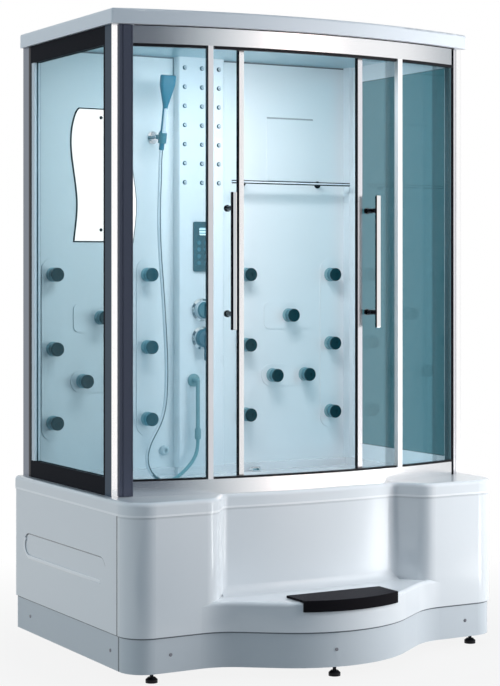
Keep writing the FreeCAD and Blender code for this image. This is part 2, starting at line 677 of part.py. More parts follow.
def cover_face(grow):
    side = cover_half + grow
    radius = cover_radius + grow
    side_depth = bow_depth + math.sqrt(radius ** 2 - side ** 2)
    return face_of(line(at(side, -grow), at(-side, -grow)), line(at(-side, -grow), at(-side, side_depth)),
                   arc(at(-side, side_depth), at(0, bow_depth + radius), at(side, side_depth)),
                   line(at(side, side_depth), at(side, -grow)))


cover_low = size(FRAME_TOP)
cover_high = size("total_height")
ledge = size("cover_ledge")
cover = prism(cover_face(0), cover_low, cover_high)
cover_edges = [edge for edge in cover.Edges
               if min(v.Z for v in edge.Vertexes) > cover_high - OVERRUN
               and edge.CenterOfMass.y < back_y - OVERRUN]
cover = cover.makeFillet(size("cover_round"), cover_edges + upright_edges(cover, cover_half, ledge)[-2:])
cover = cover.cut(prism(cover_face(-ledge), cover_low - OVERRUN, cover_high - size("cover_skin")))
part("top_cover", feature("top_cover", cover))
part("ceiling_panel", feature("ceiling_panel", prism(cover_face(-ledge - size("fit_gap")), cover_low,
                                                     cover_low + size("ceiling_wall"))))

# Front posts of angle section, bright corner trims and rear posts
POST = [("frame_width / 2", "frame_depth"), ("frame_width / 2 - post_front", "frame_depth"),
        ("frame_width / 2 - post_front", "frame_depth - post_wall"),
        ("frame_width / 2 - post_wall", "frame_depth - post_wall"),
        ("frame_width / 2 - post_wall", "frame_depth - post_side"),
        ("frame_width / 2", "frame_depth - post_side")]
TRIM = [("frame_width / 2 + trim_wall", "frame_depth + trim_wall"),
        ("frame_width / 2 - trim_front", "frame_depth + trim_wall"),
        ("frame_width / 2 - trim_front", "frame_depth"), ("frame_width / 2", "frame_depth"),
        ("frame_width / 2", "frame_depth - trim_side"),
        ("frame_width / 2 + trim_wall", "frame_depth - trim_side")]


def mirrored(outline):
    return [(f"-({x})", depth) for x, depth in outline]


part("left_front_post", padded("left_front_post", mirrored(POST), "rim_height", FRAME_TOP))
part("right_front_post", padded("right_front_post", POST, "rim_height", FRAME_TOP))
trims = [padded("left_trim", mirrored(TRIM), "rim_height", FRAME_TOP),
         padded("right_trim", TRIM, "rim_height", FRAME_TOP)]
part("corner_trims", group("corner_trims", *trims))
OUTSIDE = "frame_width / 2"
rear = [box("left_rear_post", (f"-{OUTSIDE}", f"-{OUTSIDE} + rear_post_width"), ("0", "rear_post_depth"),
            ("rim_height", FRAME_TOP)),
        box("right_rear_post", (OUTSIDE + " - rear_post_width", OUTSIDE), ("0", "rear_post_depth"),
            ("rim_height", FRAME_TOP))]
part("rear_posts", group("rear_posts", *rear))

# Side frames, each a picture frame with a groove for its glass
BAR_LOW = "rim_height + side_bar_low"
BAR_HIGH = f"{FRAME_TOP} - side_bar_high"
STILE_BACK = "rear_post_depth + side_stile_back"
STILE_FRONT = "frame_depth - post_side - side_stile_front"
PANE = "(frame_width / 2 - post_wall / 2)"
for hand, sign in (("left", "-"), ("right", "")):
    def span(outer, inner):
        return (f"-({outer})", f"-({inner})") if sign else (inner, outer)

    outer_frame = box(hand + "_side_block", span(OUTSIDE, OUTSIDE + " - post_wall"),
                      ("rear_post_depth", "frame_depth - post_side"), ("rim_height", FRAME_TOP))
    window = box(hand + "_side_window", span(OUTSIDE + " + overrun", OUTSIDE + " - post_wall - overrun"),
                 (STILE_BACK, STILE_FRONT), (BAR_LOW, BAR_HIGH))
    groove = box(hand + "_side_groove",
                 span(PANE + " + glass_wall / 2 + fit_gap", PANE + " - glass_wall / 2 - fit_gap"),
                 (STILE_BACK + " - glass_bite - fit_gap", STILE_FRONT + " + glass_bite + fit_gap"),
                 (BAR_LOW + " - glass_bite", BAR_HIGH + " + glass_bite + fit_gap"))
    part(hand + "_side_frame", cut(hand + "_side_frame", outer_frame, window, groove))
    part(hand + "_side_glass",
         box(hand + "_side_glass", span(PANE + " + glass_wall / 2", PANE + " - glass_wall / 2"),
                                   (STILE_BACK + " - glass_bite", STILE_FRONT + " + glass_bite"),
                                   (BAR_LOW + " - glass_bite", BAR_HIGH + " + glass_bite")))

# Bowed rails with a slot for the fixed glass and a channel for the doors
rail_inner = bow_radius - size("rail_depth")
fixed_outer = bow_radius - size("fixed_inset")
fixed_inner = fixed_outer - size("glass_wall")
door_outer = bow_radius - size("door_inset")
door_inner = door_outer - size("glass_wall")
door_middle = (door_outer + door_inner) / 2
channel_outer = door_middle + size("channel_width / 2")
channel_inner = door_middle - size("channel_width / 2")
seal = size("seal_gap")
bite = size("glass_bite")
low_rail_top = size("rim_height + bottom_rail")
high_rail_low = size(f"{FRAME_TOP} - top_rail")
inside_half = size("frame_width / 2 - post_wall")
sweep = bow_angle(size("frame_width / 2"), rail_inner)


def make_rail(low, high, slot, channel):
    """A bowed rail between the posts: slot and channel are the heights cut for the glass and the doors."""
    rail = bow_sector(rail_inner, bow_radius, -sweep, sweep, low, high)
    rail = rail.cut(bow_sector(fixed_inner - seal, fixed_outer + seal, -sweep, sweep, *slot))
    rail = rail.cut(bow_sector(channel_inner, channel_outer, -sweep, sweep, *channel))
    flange = inside_half - size("post_front - post_wall")
    for side in (-1, 1):
        ends = sorted((side * inside_half, side * 2 * half))
        rail = rail.cut(block(ends, (-OVERRUN, deep), (low - OVERRUN, high + OVERRUN)))
        ends = sorted((side * flange, side * 2 * half))
        rail = rail.cut(block(ends, (size("frame_depth - post_wall"), deep),
                              (low - OVERRUN, high + OVERRUN)))
    return rail


part("bottom_rail", feature("bottom_rail", make_rail(
    rim_top, low_rail_top, (low_rail_top - bite, low_rail_top + OVERRUN),
    (low_rail_top - size("channel_low"), low_rail_top + OVERRUN))))
part("top_rail", feature("top_rail", make_rail(
    high_rail_low, cover_low, (high_rail_low - OVERRUN, high_rail_low + bite + seal),
    (high_rail_low - OVERRUN, high_rail_low + size("channel_high")))))

# Fixed bow glass and its stiles
stile_outer = bow_radius
stile_inner = bow_radius - size("fixed_stile_depth")
edge_angle = bow_angle(size("fixed_edge"), bow_radius)
stile_turn = math.degrees(size("stile_width") / bow_radius)
lip_turn = math.degrees(size("skirt_wall") / bow_radius)
post_angle = bow_angle(inside_half - size("post_front - post_wall + fit_gap"), bow_radius)
stiles = []
for hand, side in (("left", -1), ("right", 1)):
    glass_span = sorted((side * (edge_angle + lip_turn), side * post_angle))
    glass = bow_sector(fixed_inner, fixed_outer, *glass_span, low_rail_top - bite, high_rail_low + bite)
    part(hand + "_fixed_glass", feature(hand + "_fixed_glass", glass))
    stile_span = sorted((side * edge_angle, side * (edge_angle + stile_turn)))
    stile = bow_sector(stile_inner, stile_outer, *stile_span, low_rail_top, high_rail_low)
    slot_span = sorted((side * (edge_angle + lip_turn), side * (edge_angle + 2 * stile_turn)))
    stiles.append(stile.cut(bow_sector(fixed_inner - seal, fixed_outer + seal, *slot_span,
                                       low_rail_top - OVERRUN, high_rail_low + OVERRUN)))
part("fixed_stiles", feature("fixed_stiles", Part.makeCompound(stiles)))


# Sliding doors: glass, leading stile, runners in the channels and a bar handle on two knobs
def make_handle(angle):
    """The handle stands straight ahead on the bow and is then turned to its door's angle."""
    out = Vector(0, -1, 0)
    glass_depth = bow_depth + door_outer
    bar_low = size("handle_height - handle_length / 2")
    bar_depth = glass_depth + size("handle_reach")
    wide = size("handle_width")
    solids = [block((-wide / 2, wide / 2), (bar_depth, bar_depth + size("handle_wall")),
                    (bar_low, bar_low + size("handle_length")))]
    solids[0] = solids[0].makeFillet(size("handle_wall / 4"), solids[0].Edges)
    for step in (-1, 1):
        height = size("handle_height") + step * size("knob_spacing / 2")
        solids.append(Part.makeCylinder(size("knob_radius"), size("handle_reach - seal_gap"),
                                        at(0, glass_depth + seal, height), out))
        solids.append(Part.makeCylinder(size("knob_cap"), size("knob_cap_wall"),
                                        at(0, glass_depth - size("glass_wall + knob_cap_wall") - seal,
                                           height), out))
    handle = Part.makeCompound(solids)
    handle.rotate(Vector(0, bow_y, 0), Vector(0, 0, 1), angle)
    return handle


close_angle = bow_angle(size("door_gap"), door_outer)
width_angle = bow_angle(size("fixed_edge + door_overlap"), door_outer) - close_angle
door_stile_turn = math.degrees(size("stile_width") / door_outer)
runner_turn = math.degrees(size("runner_length") / door_outer)
runner_start = math.degrees(size("runner_inset") / door_outer)
handle_turn = math.degrees(size("handle_inset") / door_outer)
door_low = low_rail_top - size("fit_gap")
door_high = high_rail_low + size("fit_gap")
door_angles = {}
for hand, side in (("left", -1), ("right", 1)):
    lead = bow_angle(size(hand + "_opening"), door_outer)
    door_angles[hand] = (lead, lead + width_angle)

    def span_at(start, end):
        """An angle range measured from the door's leading edge."""
        return sorted((side * (lead + start), side * (lead + end)))

    glass = bow_sector(door_inner, door_outer, *span_at(lip_turn, width_angle), door_low, door_high)
    part(hand + "_door_glass", feature(hand + "_door_glass", glass))
    thick = size("door_stile_depth / 2")
    clear = size("stile_clear")
    stile = bow_sector(door_middle - thick, door_middle + thick, *span_at(0, door_stile_turn),
                       low_rail_top + clear, high_rail_low - clear)
    stile = stile.cut(bow_sector(door_inner - seal, door_outer + seal, *span_at(lip_turn, width_angle),
                                 low_rail_top, high_rail_low))
    part(hand + "_door_stile", feature(hand + "_door_stile", stile))
    gap = size("fit_gap")
    runners = []
    for start in (runner_start, width_angle - runner_start - runner_turn):
        for low, high in ((low_rail_top - size("channel_low") + gap, door_low),
                          (door_high, high_rail_low + size("channel_high") - gap)):
            runners.append(bow_sector(channel_inner + gap, channel_outer - gap,
                                      *span_at(start, start + runner_turn), low, high))
    part(hand + "_door_runners", feature(hand + "_door_runners", Part.makeCompound(runners)))
    part(hand + "_door_handle", feature(hand + "_door_handle", make_handle(side * (lead + handle_turn))))

# Jets: turned sockets in the back panels and heads that swivel in them
JET_FACE = "wall_face + raise_height"
SOCKET = [("sleeve_radius", "sleeve_end"), ("sleeve_radius", JET_FACE), ("socket_radius", JET_FACE),
          ("socket_radius", f"{JET_FACE} + socket_wall / 2"),
          ("sleeve_radius", f"{JET_FACE} + socket_wall"),
          ("ball_radius + fit_gap", f"{JET_FACE} + socket_wall"),
          ("ball_radius + fit_gap", "ball_depth - ball_radius - fit_gap"),
          ("0", "ball_depth - ball_radius - fit_gap"),
          ("0", "sleeve_end")]
socket = turned("socket", SOCKET, "front", "0", "0", "0")
jet_middle = "(jet_outer + jet_inner) / 2"
four = ("-jet_outer", "-jet_inner", "jet_inner", "jet_outer")
two = (f"-{jet_middle}", jet_middle)
twins = (f"-{jet_middle} - jet_twin", f"-{jet_middle} + jet_twin", f"{jet_middle} - jet_twin",
         f"{jet_middle} + jet_twin")
jet_rows = {"jet_row_1": four, "jet_row_2": two, "jet_row_3": four, "jet_row_4": twins, "jet_row_5": four}
jet_places = [Vector(size(x), 0, size(row)) for row, places in jet_rows.items() for x in places]
part("jet_sockets", copies("jet_sockets", socket, jet_places))


def make_jet_head():
    """A ball, a neck and a round head with a rounded rim and a dished face."""
    ahead = Vector(0, -1, 0)
    ball = Part.makeSphere(size("ball_radius"), at(0, size("ball_depth")))
    neck = Part.makeCylinder(size("neck_radius"), size("jet_back - ball_depth") + OVERRUN,
                             at(0, size("ball_depth")), ahead)
    head = Part.makeCylinder(size("jet_radius"), size("jet_face - jet_back"), at(0, size("jet_back")),
                             ahead)
    head = head.makeFillet(size("jet_round"), [edge for edge in head.Edges if len(edge.Vertexes) == 1])
    dish = Part.makeCylinder(size("jet_bore"), size("jet_dish") + OVERRUN,
                             at(0, size("jet_face - jet_dish")), ahead)
    return ball.fuse([neck, head]).cut(dish).removeSplitter()


jet_head = make_jet_head()
for row, places in jet_rows.items():
    heads = [jet_head.translated(Vector(size(x), 0, size(row))) for x in places]
    part(row.replace("jet", "jet_heads"), feature(row + "_heads", Part.makeCompound(heads)))


# Back panels with raised fields round the jets, bored for the sockets
def raised(width, height, corner, x, z):
    """A field raised from the wall's face, as a rounded plate standing upright."""
    plate = rounded_face(width, height, corner, Vector(0, 0, 0))
    solid = plate.extrude(Vector(0, 0, size("raise_height + panel_wall")))
    solid.rotate(Vector(0, 0, 0), Vector(1, 0, 0), 90)
    solid.translate(at(x, size("wall_face - panel_wall"), z))
    return solid


def make_back_panel(side):
    inner = size("column_width / 2 + fit_gap")
    outer = size("frame_width / 2 - rear_post_width - fit_gap")
    ends = sorted((side * inner, side * outer))
    panel = block(ends, (size("wall_face - panel_wall"), size("wall_face")), (rim_top, cover_low))
    tall = size("field_high - field_low")
    middle = size("(field_high + field_low) / 2")
    wide = size("field_width")
    fields = [raised(wide, tall, wide / 2 - seal, side * size(x), middle)
              for x in ("jet_inner", "jet_outer")]
    fields.append(raised(size("plate_length"), size("plate_height"), size("plate_round"),
                         side * size(jet_middle), size("jet_row_2")))
    fields.append(raised(size("twin_length"), size("twin_height"), size("twin_height / 2 - seal_gap"),
                         side * size(jet_middle), size("jet_row_4")))
    if side > 0:
        fields.append(raised(size("relief_width"), size("relief_height"), size("relief_round"),
                             size("relief_left + relief_width / 2"),
                             size("relief_low + relief_height / 2")))
    panel = panel.fuse(fields)
    for place in jet_places:
        if place.x * side > 0:
            panel = panel.cut(Part.makeCylinder(size("sleeve_radius + fit_gap"),
                                                size("panel_wall + raise_height") + 2 * OVERRUN,
                                                place + at(0, size("wall_face - panel_wall") - OVERRUN),
                                                Vector(0, -1, 0)))
    return panel.removeSplitter()


part("left_back_panel", feature("left_back_panel", make_back_panel(-1)))
part("right_back_panel", feature("right_back_panel", make_back_panel(1)))

# Centre column: a folded panel, open at the back, bored for the nozzles, valves and hose elbow
nozzle_places = [Vector(column * size("nozzle_pitch"), 0, size("nozzle_top") - row * size("nozzle_step"))
                 for row in range(int(size("nozzle_rows"))) for column in (-1, 0, 1)]


def make_column():
    wide = size("column_width / 2")
    face = size(COLUMN_FACE)
    back = size("wall_face - panel_wall")
    skin = size("column_wall")
    column = block((-wide, wide), (back, face), (rim_top, cover_low))
    corners = [edge for edge in upright_edges(column, wide, OVERRUN)
               if edge.CenterOfMass.y < back_y - back - skin]
    column = column.makeFillet(size("column_round"), corners)
    column = column.cut(block((-wide + skin, wide - skin), (back - OVERRUN, face - skin),
                              (rim_top - OVERRUN, cover_low + OVERRUN)))
    bores = [(place.x, place.z, size("nozzle_stem + fit_gap")) for place in nozzle_places]
    bores += [(0, size(height), size("valve_hole")) for height in ("diverter_height", "mixer_height")]
    bores.append((-size("elbow_side"), size("elbow_height"), size("elbow_radius + fit_gap")))
    for x, z, radius in bores:
        column = column.cut(Part.makeCylinder(radius, skin + 2 * OVERRUN, at(x, face - skin - OVERRUN, z),
                                              Vector(0, -1, 0)))
    return column


part("centre_column", feature("centre_column", make_column()))

NOZZLE = [("0", f"{COLUMN_FACE} - column_wall"), ("nozzle_stem", f"{COLUMN_FACE} - column_wall"),
          ("nozzle_stem", COLUMN_FACE), ("nozzle_radius", COLUMN_FACE),
          ("nozzle_radius", f"{COLUMN_FACE} + nozzle_wall / 2"),
          ("nozzle_stem", f"{COLUMN_FACE} + nozzle_wall"),
          ("nozzle_stem", f"{COLUMN_FACE} + nozzle_wall + nozzle_spout"),
          ("nozzle_bore", f"{COLUMN_FACE} + nozzle_wall + nozzle_spout"), ("nozzle_bore", COLUMN_FACE),
          ("0", COLUMN_FACE)]
nozzle = turned("nozzle", NOZZLE, "front", "0", "0", "0")
part("column_nozzles", copies("column_nozzles", nozzle, nozzle_places))


# Mirror with waved sides: each side swings in and out at these shares of its height
WAVE_SHARES = (0, 0.25, 0.5, 0.75, 1)


def make_mirror():
    low = size("mirror_low")
    tall = size("mirror_height")
    left = size("mirror_left")
    wide = size("mirror_width")
    wave = size("mirror_wave")
    depth = size("wall_face")

    def point(x, share, shift):
        return at(x + shift * wave, depth, low + share * tall)

    def side(x):
        start, low_bulge, middle, high_bulge, end = WAVE_SHARES
        return [arc(point(x, start, 0), point(x, low_bulge, 1), point(x, middle, 0)),
                arc(point(x, middle, 0), point(x, high_bulge, -1), point(x, end, 0))]

    edges = side(left) + [line(point(left, 1, 0), point(left + wide, 1, 0))] + side(left + wide)
    edges.append(line(point(left + wide, 0, 0), point(left, 0, 0)))
    face = Part.Face(Part.Wire(Part.__sortEdges__(edges)))
    return face.extrude(Vector(0, -size("mirror_wall"), 0))


part("mirror", feature("mirror", make_mirror()))

# Towel bar on two brackets
bar_pieces = [rod("bar", "bar_radius", "bar_right - bar_left", "x", "bar_left", "wall_face + bar_reach",
                  "bar_height")]
for x in ("bar_bracket_left", "bar_bracket_right"):
    bar_pieces.append(rod("bracket", "bracket_radius", "bar_reach", "front", x, "wall_face", "bar_height"))
    bar_pieces.append(rod("bracket_foot", "bracket_foot", "bracket_wall", "front", x, "wall_face",
                          "bar_height"))
part("towel_bar", fuse("towel_bar", *bar_pieces))

# Control panel on the column, and the steam outlet low on the left panel
panel_face = rounded_face(size("panel_width"), size("panel_height"), size("panel_round"), Vector(0, 0, 0))
control = panel_face.extrude(Vector(0, 0, size("panel_proud")))
control.rotate(Vector(0, 0, 0), Vector(1, 0, 0), 90)
control.translate(at(0, size(COLUMN_FACE), size("panel_low + panel_height / 2")))
part("control_panel", feature("control_panel", control))
STEAM = [("0", "wall_face"), ("steam_radius", "wall_face"), ("steam_radius", "wall_face + steam_reach / 2"),
         ("steam_radius * edge_share", "wall_face + steam_reach"),
         ("steam_bore", "wall_face + steam_reach"),
         ("steam_bore", "wall_face + steam_reach / 2"), ("0", "wall_face + steam_reach / 2")]
part("steam_outlet", turned("steam_outlet", STEAM, "front", "-steam_side", "0", "steam_height"))

# Valves: body in the column, two rosettes on its face, diverter knob and mixer lever
valve = box("valve_block", ("-valve_half", "valve_half"), ("valve_back", "valve_front"),
            ("valve_low", "valve_high"))
bores = [rod("shaft_bore", "shaft_radius + running_gap", "valve_front - shaft_end + overrun", "front", "0",
             "shaft_end - fit_gap", height) for height in ("diverter_height", "mixer_height")]
bores += [rod("inlet_bore", "inlet_radius", "inlet_length + overrun", "front", x, "valve_back - overrun",
              "inlet_height")
          for x in ("-inlet_side", "inlet_side")]
part("valve_body", cut("valve_body", valve, *bores))
ROSETTE = [("valve_hole", COLUMN_FACE), ("rosette_radius", COLUMN_FACE),
           ("rosette_radius", f"{COLUMN_FACE} + rosette_wall * (1 - edge_share)"),
           ("rosette_radius * crown_share", f"{COLUMN_FACE} + rosette_wall"),
           ("valve_hole", f"{COLUMN_FACE} + rosette_wall")]
rosette = turned("rosette", ROSETTE, "front", "0", "0", "0")
part("valve_rosettes", copies("valve_rosettes", rosette,
                              [Vector(0, 0, size(height))
                               for height in ("diverter_height", "mixer_height")]))
DIAL_BACK = f"{COLUMN_FACE} + rosette_wall + fit_gap"
DIAL_FACE = f"{DIAL_BACK} + dial_reach"
DIAL = [("0", "shaft_end"), ("shaft_radius", "shaft_end"), ("shaft_radius", DIAL_BACK),
        ("dial_radius", DIAL_BACK),
        ("dial_radius", f"{DIAL_FACE} - dial_reach * (1 - edge_share)"),
        ("dial_radius * crown_share", DIAL_FACE), ("0", DIAL_FACE)]
diverter = turned("diverter_dial", DIAL, "front", "0", "0", "diverter_height")
rib = box("diverter_rib", ("-dial_grip / 2", "dial_grip / 2"),
          (f"{DIAL_FACE} - dial_rib", f"{DIAL_FACE} + dial_rib"),
          ("diverter_height - dial_radius * crown_share", "diverter_height + dial_radius * crown_share"))
part("diverter_knob", fuse("diverter_knob", diverter, rib))
mixer = turned("mixer_dial", DIAL, "front", "0", "0", "mixer_height")
lever = box("lever_bar", ("-lever_width / 2", "lever_width / 2"),
            (f"{DIAL_FACE} - lever_wall / 2", f"{DIAL_FACE} + lever_wall / 2"),
            ("mixer_height - lever_drop", "mixer_height + lever_width"))
tip = rod("lever_tip", "lever_width / 2", "lever_wall", "front", "0", f"{DIAL_FACE} - lever_wall / 2",
          "mixer_height - lever_drop")
part("mixer_lever", fuse("mixer_lever", mixer, lever, tip))

# Waste control knob on the rear deck
WASTE_KNOB = [("0", f"{DECK} - waste_shaft_length"), ("waste_knob_shaft", f"{DECK} - waste_shaft_length"),
              ("waste_knob_shaft", f"{DECK} + fit_gap"), ("waste_knob_radius", f"{DECK} + fit_gap"),
              ("waste_knob_radius", f"{DECK} + waste_knob_wall / 2"),
              ("waste_knob_radius * crown_share", f"{DECK} + waste_knob_wall"),
              ("0", f"{DECK} + waste_knob_wall")]
waste_dial = turned("waste_dial", WASTE_KNOB, "z", "waste_knob_side", "waste_knob_depth", "0")
waste_rib = box("waste_rib_bar",
                ("waste_knob_side - waste_knob_radius * crown_share",
                 "waste_knob_side + waste_knob_radius * crown_share"),
                ("waste_knob_depth - waste_rib / 2", "waste_knob_depth + waste_rib / 2"),
                (f"{DECK} + waste_knob_wall / 2", f"{DECK} + waste_knob_wall + waste_rib_wall"))
part("waste_control_knob", fuse("waste_control_knob", waste_dial, waste_rib))

# Hose elbow with its drop pipe and nut
ELBOW = ("-elbow_side", "elbow_height")
elbow_pieces = [rod("elbow_foot_disc", "elbow_foot", "elbow_foot_wall", "front", ELBOW[0], COLUMN_FACE,
                    ELBOW[1]),
                rod("elbow_stub", "elbow_radius", f"elbow_depth - ({COLUMN_FACE}) + column_wall", "front",
                    ELBOW[0], f"{COLUMN_FACE} - column_wall", ELBOW[1]),
                rod("drop_pipe", "drop_radius", "elbow_height - drop_end", "z", ELBOW[0], "elbow_depth",
                    "drop_end"),
                rod("hose_nut", "nut_radius", "drop_end - nut_end", "z", ELBOW[0], "elbow_depth",
                    "nut_end")]
knuckle = doc.addObject("Part::Sphere", "elbow_knuckle")
knuckle.setExpression("Radius", bound("elbow_radius"))
set_base(knuckle, ELBOW[0], front("elbow_depth"), ELBOW[1])
part("hose_elbow", fuse("hose_elbow", knuckle, *elbow_pieces))

# Shower bracket with a pivot pin, tilting holder and hand shower
bracket = [rod("shower_foot_disc", "shower_foot", "shower_foot_wall", "front", "-shower_side", "wall_face",
               "shower_height"),
           rod("shower_arm", "arm_radius", "pivot_depth - wall_face", "front", "-shower_side", "wall_face",
               "shower_height"),
           rod("shower_lug", "lug_radius", "lug_length", "x", "-shower_side - lug_length / 2",
               "pivot_depth", "shower_height"),
           rod("shower_pin", "pin_radius", "pin_length", "x", "-shower_side - pin_length / 2",
               "pivot_depth", "shower_height")]
part("shower_bracket", fuse("shower_bracket", *bracket))
pivot = at(-size("shower_side"), size("pivot_depth"), size("shower_height"))
lean = Placement(pivot, Rotation(Vector(1, 0, 0), size("lean_angle")))
sleeve_middle = Vector(0, -size("sleeve_reach"), 0)
UP = Vector(0, 0, 1)


def make_holder():
    """Two ears on the pivot pin carry a sleeve, drawn upright with the pivot at zero."""
    tall = size("holder_height")
    sleeve = Part.makeCylinder(size("holder_radius"), tall, sleeve_middle - UP * (tall / 2), UP)
    ear = size("ear_wall")
    radius = size("ear_radius")
    ears = []
    for inner in (size("lug_length / 2 + fit_gap"), -size("lug_length / 2 + fit_gap + ear_wall")):
        ears.append(Part.makeCylinder(radius, ear, Vector(inner, 0, 0), Vector(1, 0, 0)))
        ears.append(Part.makeBox(ear, size("sleeve_reach"), 2 * radius,
                                 Vector(inner, -size("sleeve_reach"), -radius)))
    holder = sleeve.fuse(ears)
    holder = holder.cut(Part.makeCylinder(size("handle_radius + fit_gap"), tall + 2 * OVERRUN,
                                          sleeve_middle - UP * (tall / 2 + OVERRUN), UP))
    wide = size("pin_length") + 2 * OVERRUN
    pin_hole = Part.makeCylinder(size("pin_radius + running_gap"), wide, Vector(-wide / 2, 0, 0),
                                 Vector(1, 0, 0))
    return holder.cut(pin_hole).removeSplitter()


def make_hand_shower():
    """A round handle with a collar that rests on the sleeve, widening into a flat head."""
    tall = size("holder_height / 2 + fit_gap")
    start = size("neck_start")
    handle = Part.makeCylinder(size("handle_radius"), size("handle_below + neck_start"),
                               sleeve_middle - UP * size("handle_below"), UP)
    collar = Part.makeCylinder(size("collar_radius"), size("collar_wall"), sleeve_middle + UP * tall, UP)
    throat = Part.Wire(Part.makeCircle(size("handle_radius"), sleeve_middle + UP * start))
    mouth = rounded_face(size("head_width"), size("head_wall"), size("head_round"),
                         sleeve_middle + UP * size("head_start"))
    neck = Part.makeLoft([throat, mouth.OuterWire], True)
    head = mouth.extrude(UP * size("head_top - head_start"))
    rim = [edge for edge in head.Edges if min(v.Z for v in edge.Vertexes) > size("head_top") - OVERRUN]
    head = head.makeFillet(size("head_round / 2"), rim)
    return handle.fuse([collar, neck, head])


for node, shape in (("shower_holder", make_holder()), ("hand_shower", make_hand_shower())):
    obj = part(node, feature(node, shape))
    obj.Placement = lean

# Shower hose from the hand shower's end down into the basin and up to the elbow's nut
hose_start = lean.multVec(sleeve_middle - UP * size("handle_below"))
hose_next = lean.multVec(sleeve_middle - UP * size("handle_below + hose_lead"))
HOSE_ROUTE = [(-192, 92, 1700), (-198, 96, 1630), (-203, 101, 1530), (-201, 105, 1420), (-194, 109, 1310),
              (-187, 112, 1200), (-182, 115, 1090), (-180, 120, 1000), (-183, 125, 915), (-190, 130, 845),
              (-205, 135, 790), (-231, 140, 745), (-259, 144, 704), (-276, 147, 660), (-275, 148, 618),
              (-257, 146, 583), (-226, 142, 559), (-190, 136, 550), (-154, 129, 555), (-119, 121, 573),
              (-88, 114, 594), (-62, 108, 618), (-44, 103, 645)]
hose_end = at(-size("elbow_side"), size("elbow_depth"), size("nut_end"))
hose_points = [hose_start, hose_next] + [at(*point) for point in HOSE_ROUTE]
hose_points += [hose_end - UP * size("hose_tail"), hose_end]


ARC_SHARE = 0.45


def make_hose(points, radius):
    """A tube along straight runs joined by the largest tangent arcs that the runs allow."""
    edges = []
    here = points[0]
    length = 0
    radii = []
    for before, corner, after in zip(points, points[1:], points[2:]):
        back = (before - corner).normalize()
        ahead = (after - corner).normalize()
        turn = math.pi - back.getAngle(ahead)
        reach = ARC_SHARE * min((before - corner).Length, (after - corner).Length)
        bend = reach / math.tan(turn / 2)
        radii.append(bend)
        first = corner + back * reach
        last = corner + ahead * reach
        toward = (back + ahead).normalize()
        centre_gap = math.hypot(bend, reach)
        middle = corner + toward * (centre_gap - bend)
        edges.append(line(here, first))
        edges.append(arc(first, middle, last))
        length += (first - here).Length + bend * turn
        here = last
    edges.append(line(here, points[-1]))
    length += (points[-1] - here).Length
    path = Part.Wire(edges)
    section = Part.Wire(Part.makeCircle(radius, points[0], points[1] - points[0]))
    tube = path.makePipeShell([section], True, True)
    expected = math.pi * radius ** 2 * length
    print("hose length", round(length), "volume ratio", round(tube.Volume / expected, 4))
    print("hose radii", [round(bend) for bend in radii])
    return tube


part("shower_hose", feature("shower_hose", make_hose(hose_points, size("hose_radius"))))

# Pipes behind the panels, and the spray chamber behind the nozzles
pipes = [rod("main_pipe", "pipe_radius", "2 * jet_outer", "x", "-jet_outer", "pipe_depth", "main_height")]
for x in four:
    pipes.append(rod("dropper", "pipe_radius", "main_height - jet_row_5", "z", x, "pipe_depth",
                     "jet_row_5"))
for x in two:
    pipes.append(rod("middle_dropper", "pipe_radius", "main_height - jet_row_4", "z", x, "pipe_depth",
                     "jet_row_4"))
    pipes.append(rod("twin_pipe", "pipe_radius", "2 * jet_twin", "x", f"{x} - jet_twin", "pipe_depth",
                     "jet_row_4"))
pipes.append(rod("feed", "pipe_radius", "main_height - diverter_height", "z", "0", "pipe_depth",
                 "diverter_height"))
pipes.append(rod("feed_stub", "pipe_radius", "valve_back - pipe_depth", "front", "0", "pipe_depth",
                 "diverter_height"))
chamber = box("spray_chamber", ("-chamber_half", "chamber_half"),
              ("chamber_back", f"{COLUMN_FACE} - column_wall - fit_gap"),
              ("nozzle_top - (nozzle_rows - 1) * nozzle_step - chamber_margin",
               "nozzle_top + chamber_margin"))
riser = rod("riser", "pipe_radius", "nozzle_top - (nozzle_rows - 1) * nozzle_step - valve_high", "z",
            "riser_side", "riser_depth + pipe_radius", "valve_high")
part("water_manifold", group("water_manifold", fuse("panel_pipes", *pipes),
                             fuse("column_pipes", chamber, riser)))

doc.recompute()
for obj in doc.Objects:
    if "Invalid" in obj.State or "Error" in obj.State:
        raise RuntimeError(f"{obj.Label} failed: {obj.State}")
for obj in parts:
    if obj.Shape.isNull() or not obj.Shape.isValid():
        raise RuntimeError(f"{obj.Label} has no valid shape")

os.makedirs("parts", exist_ok=True)
for obj in parts:
    obj.Shape.exportStep(f"parts/{obj.Label}.step")
for hand, (lead, trail) in door_angles.items():
    print(hand, "door edges at", round(lead, 3), "and", round(trail, 3), "degrees; bow axis y",
          round(bow_y, 3))
print(len(parts), "pieces written")
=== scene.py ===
# %% [markdown]
# # A hydromassage shower cabin, dressed in Blender
# The cabin's solids arrive as a fixed frame in metres: +Z is up, +Y points at the wall behind the cabin.
# This lesson gives each solid its finish, and builds the soft, thin and shiny pieces that solids leave out.

# %% Load the cabin
import json
import math

import bmesh
import bpy
from mathutils import Matrix, Vector


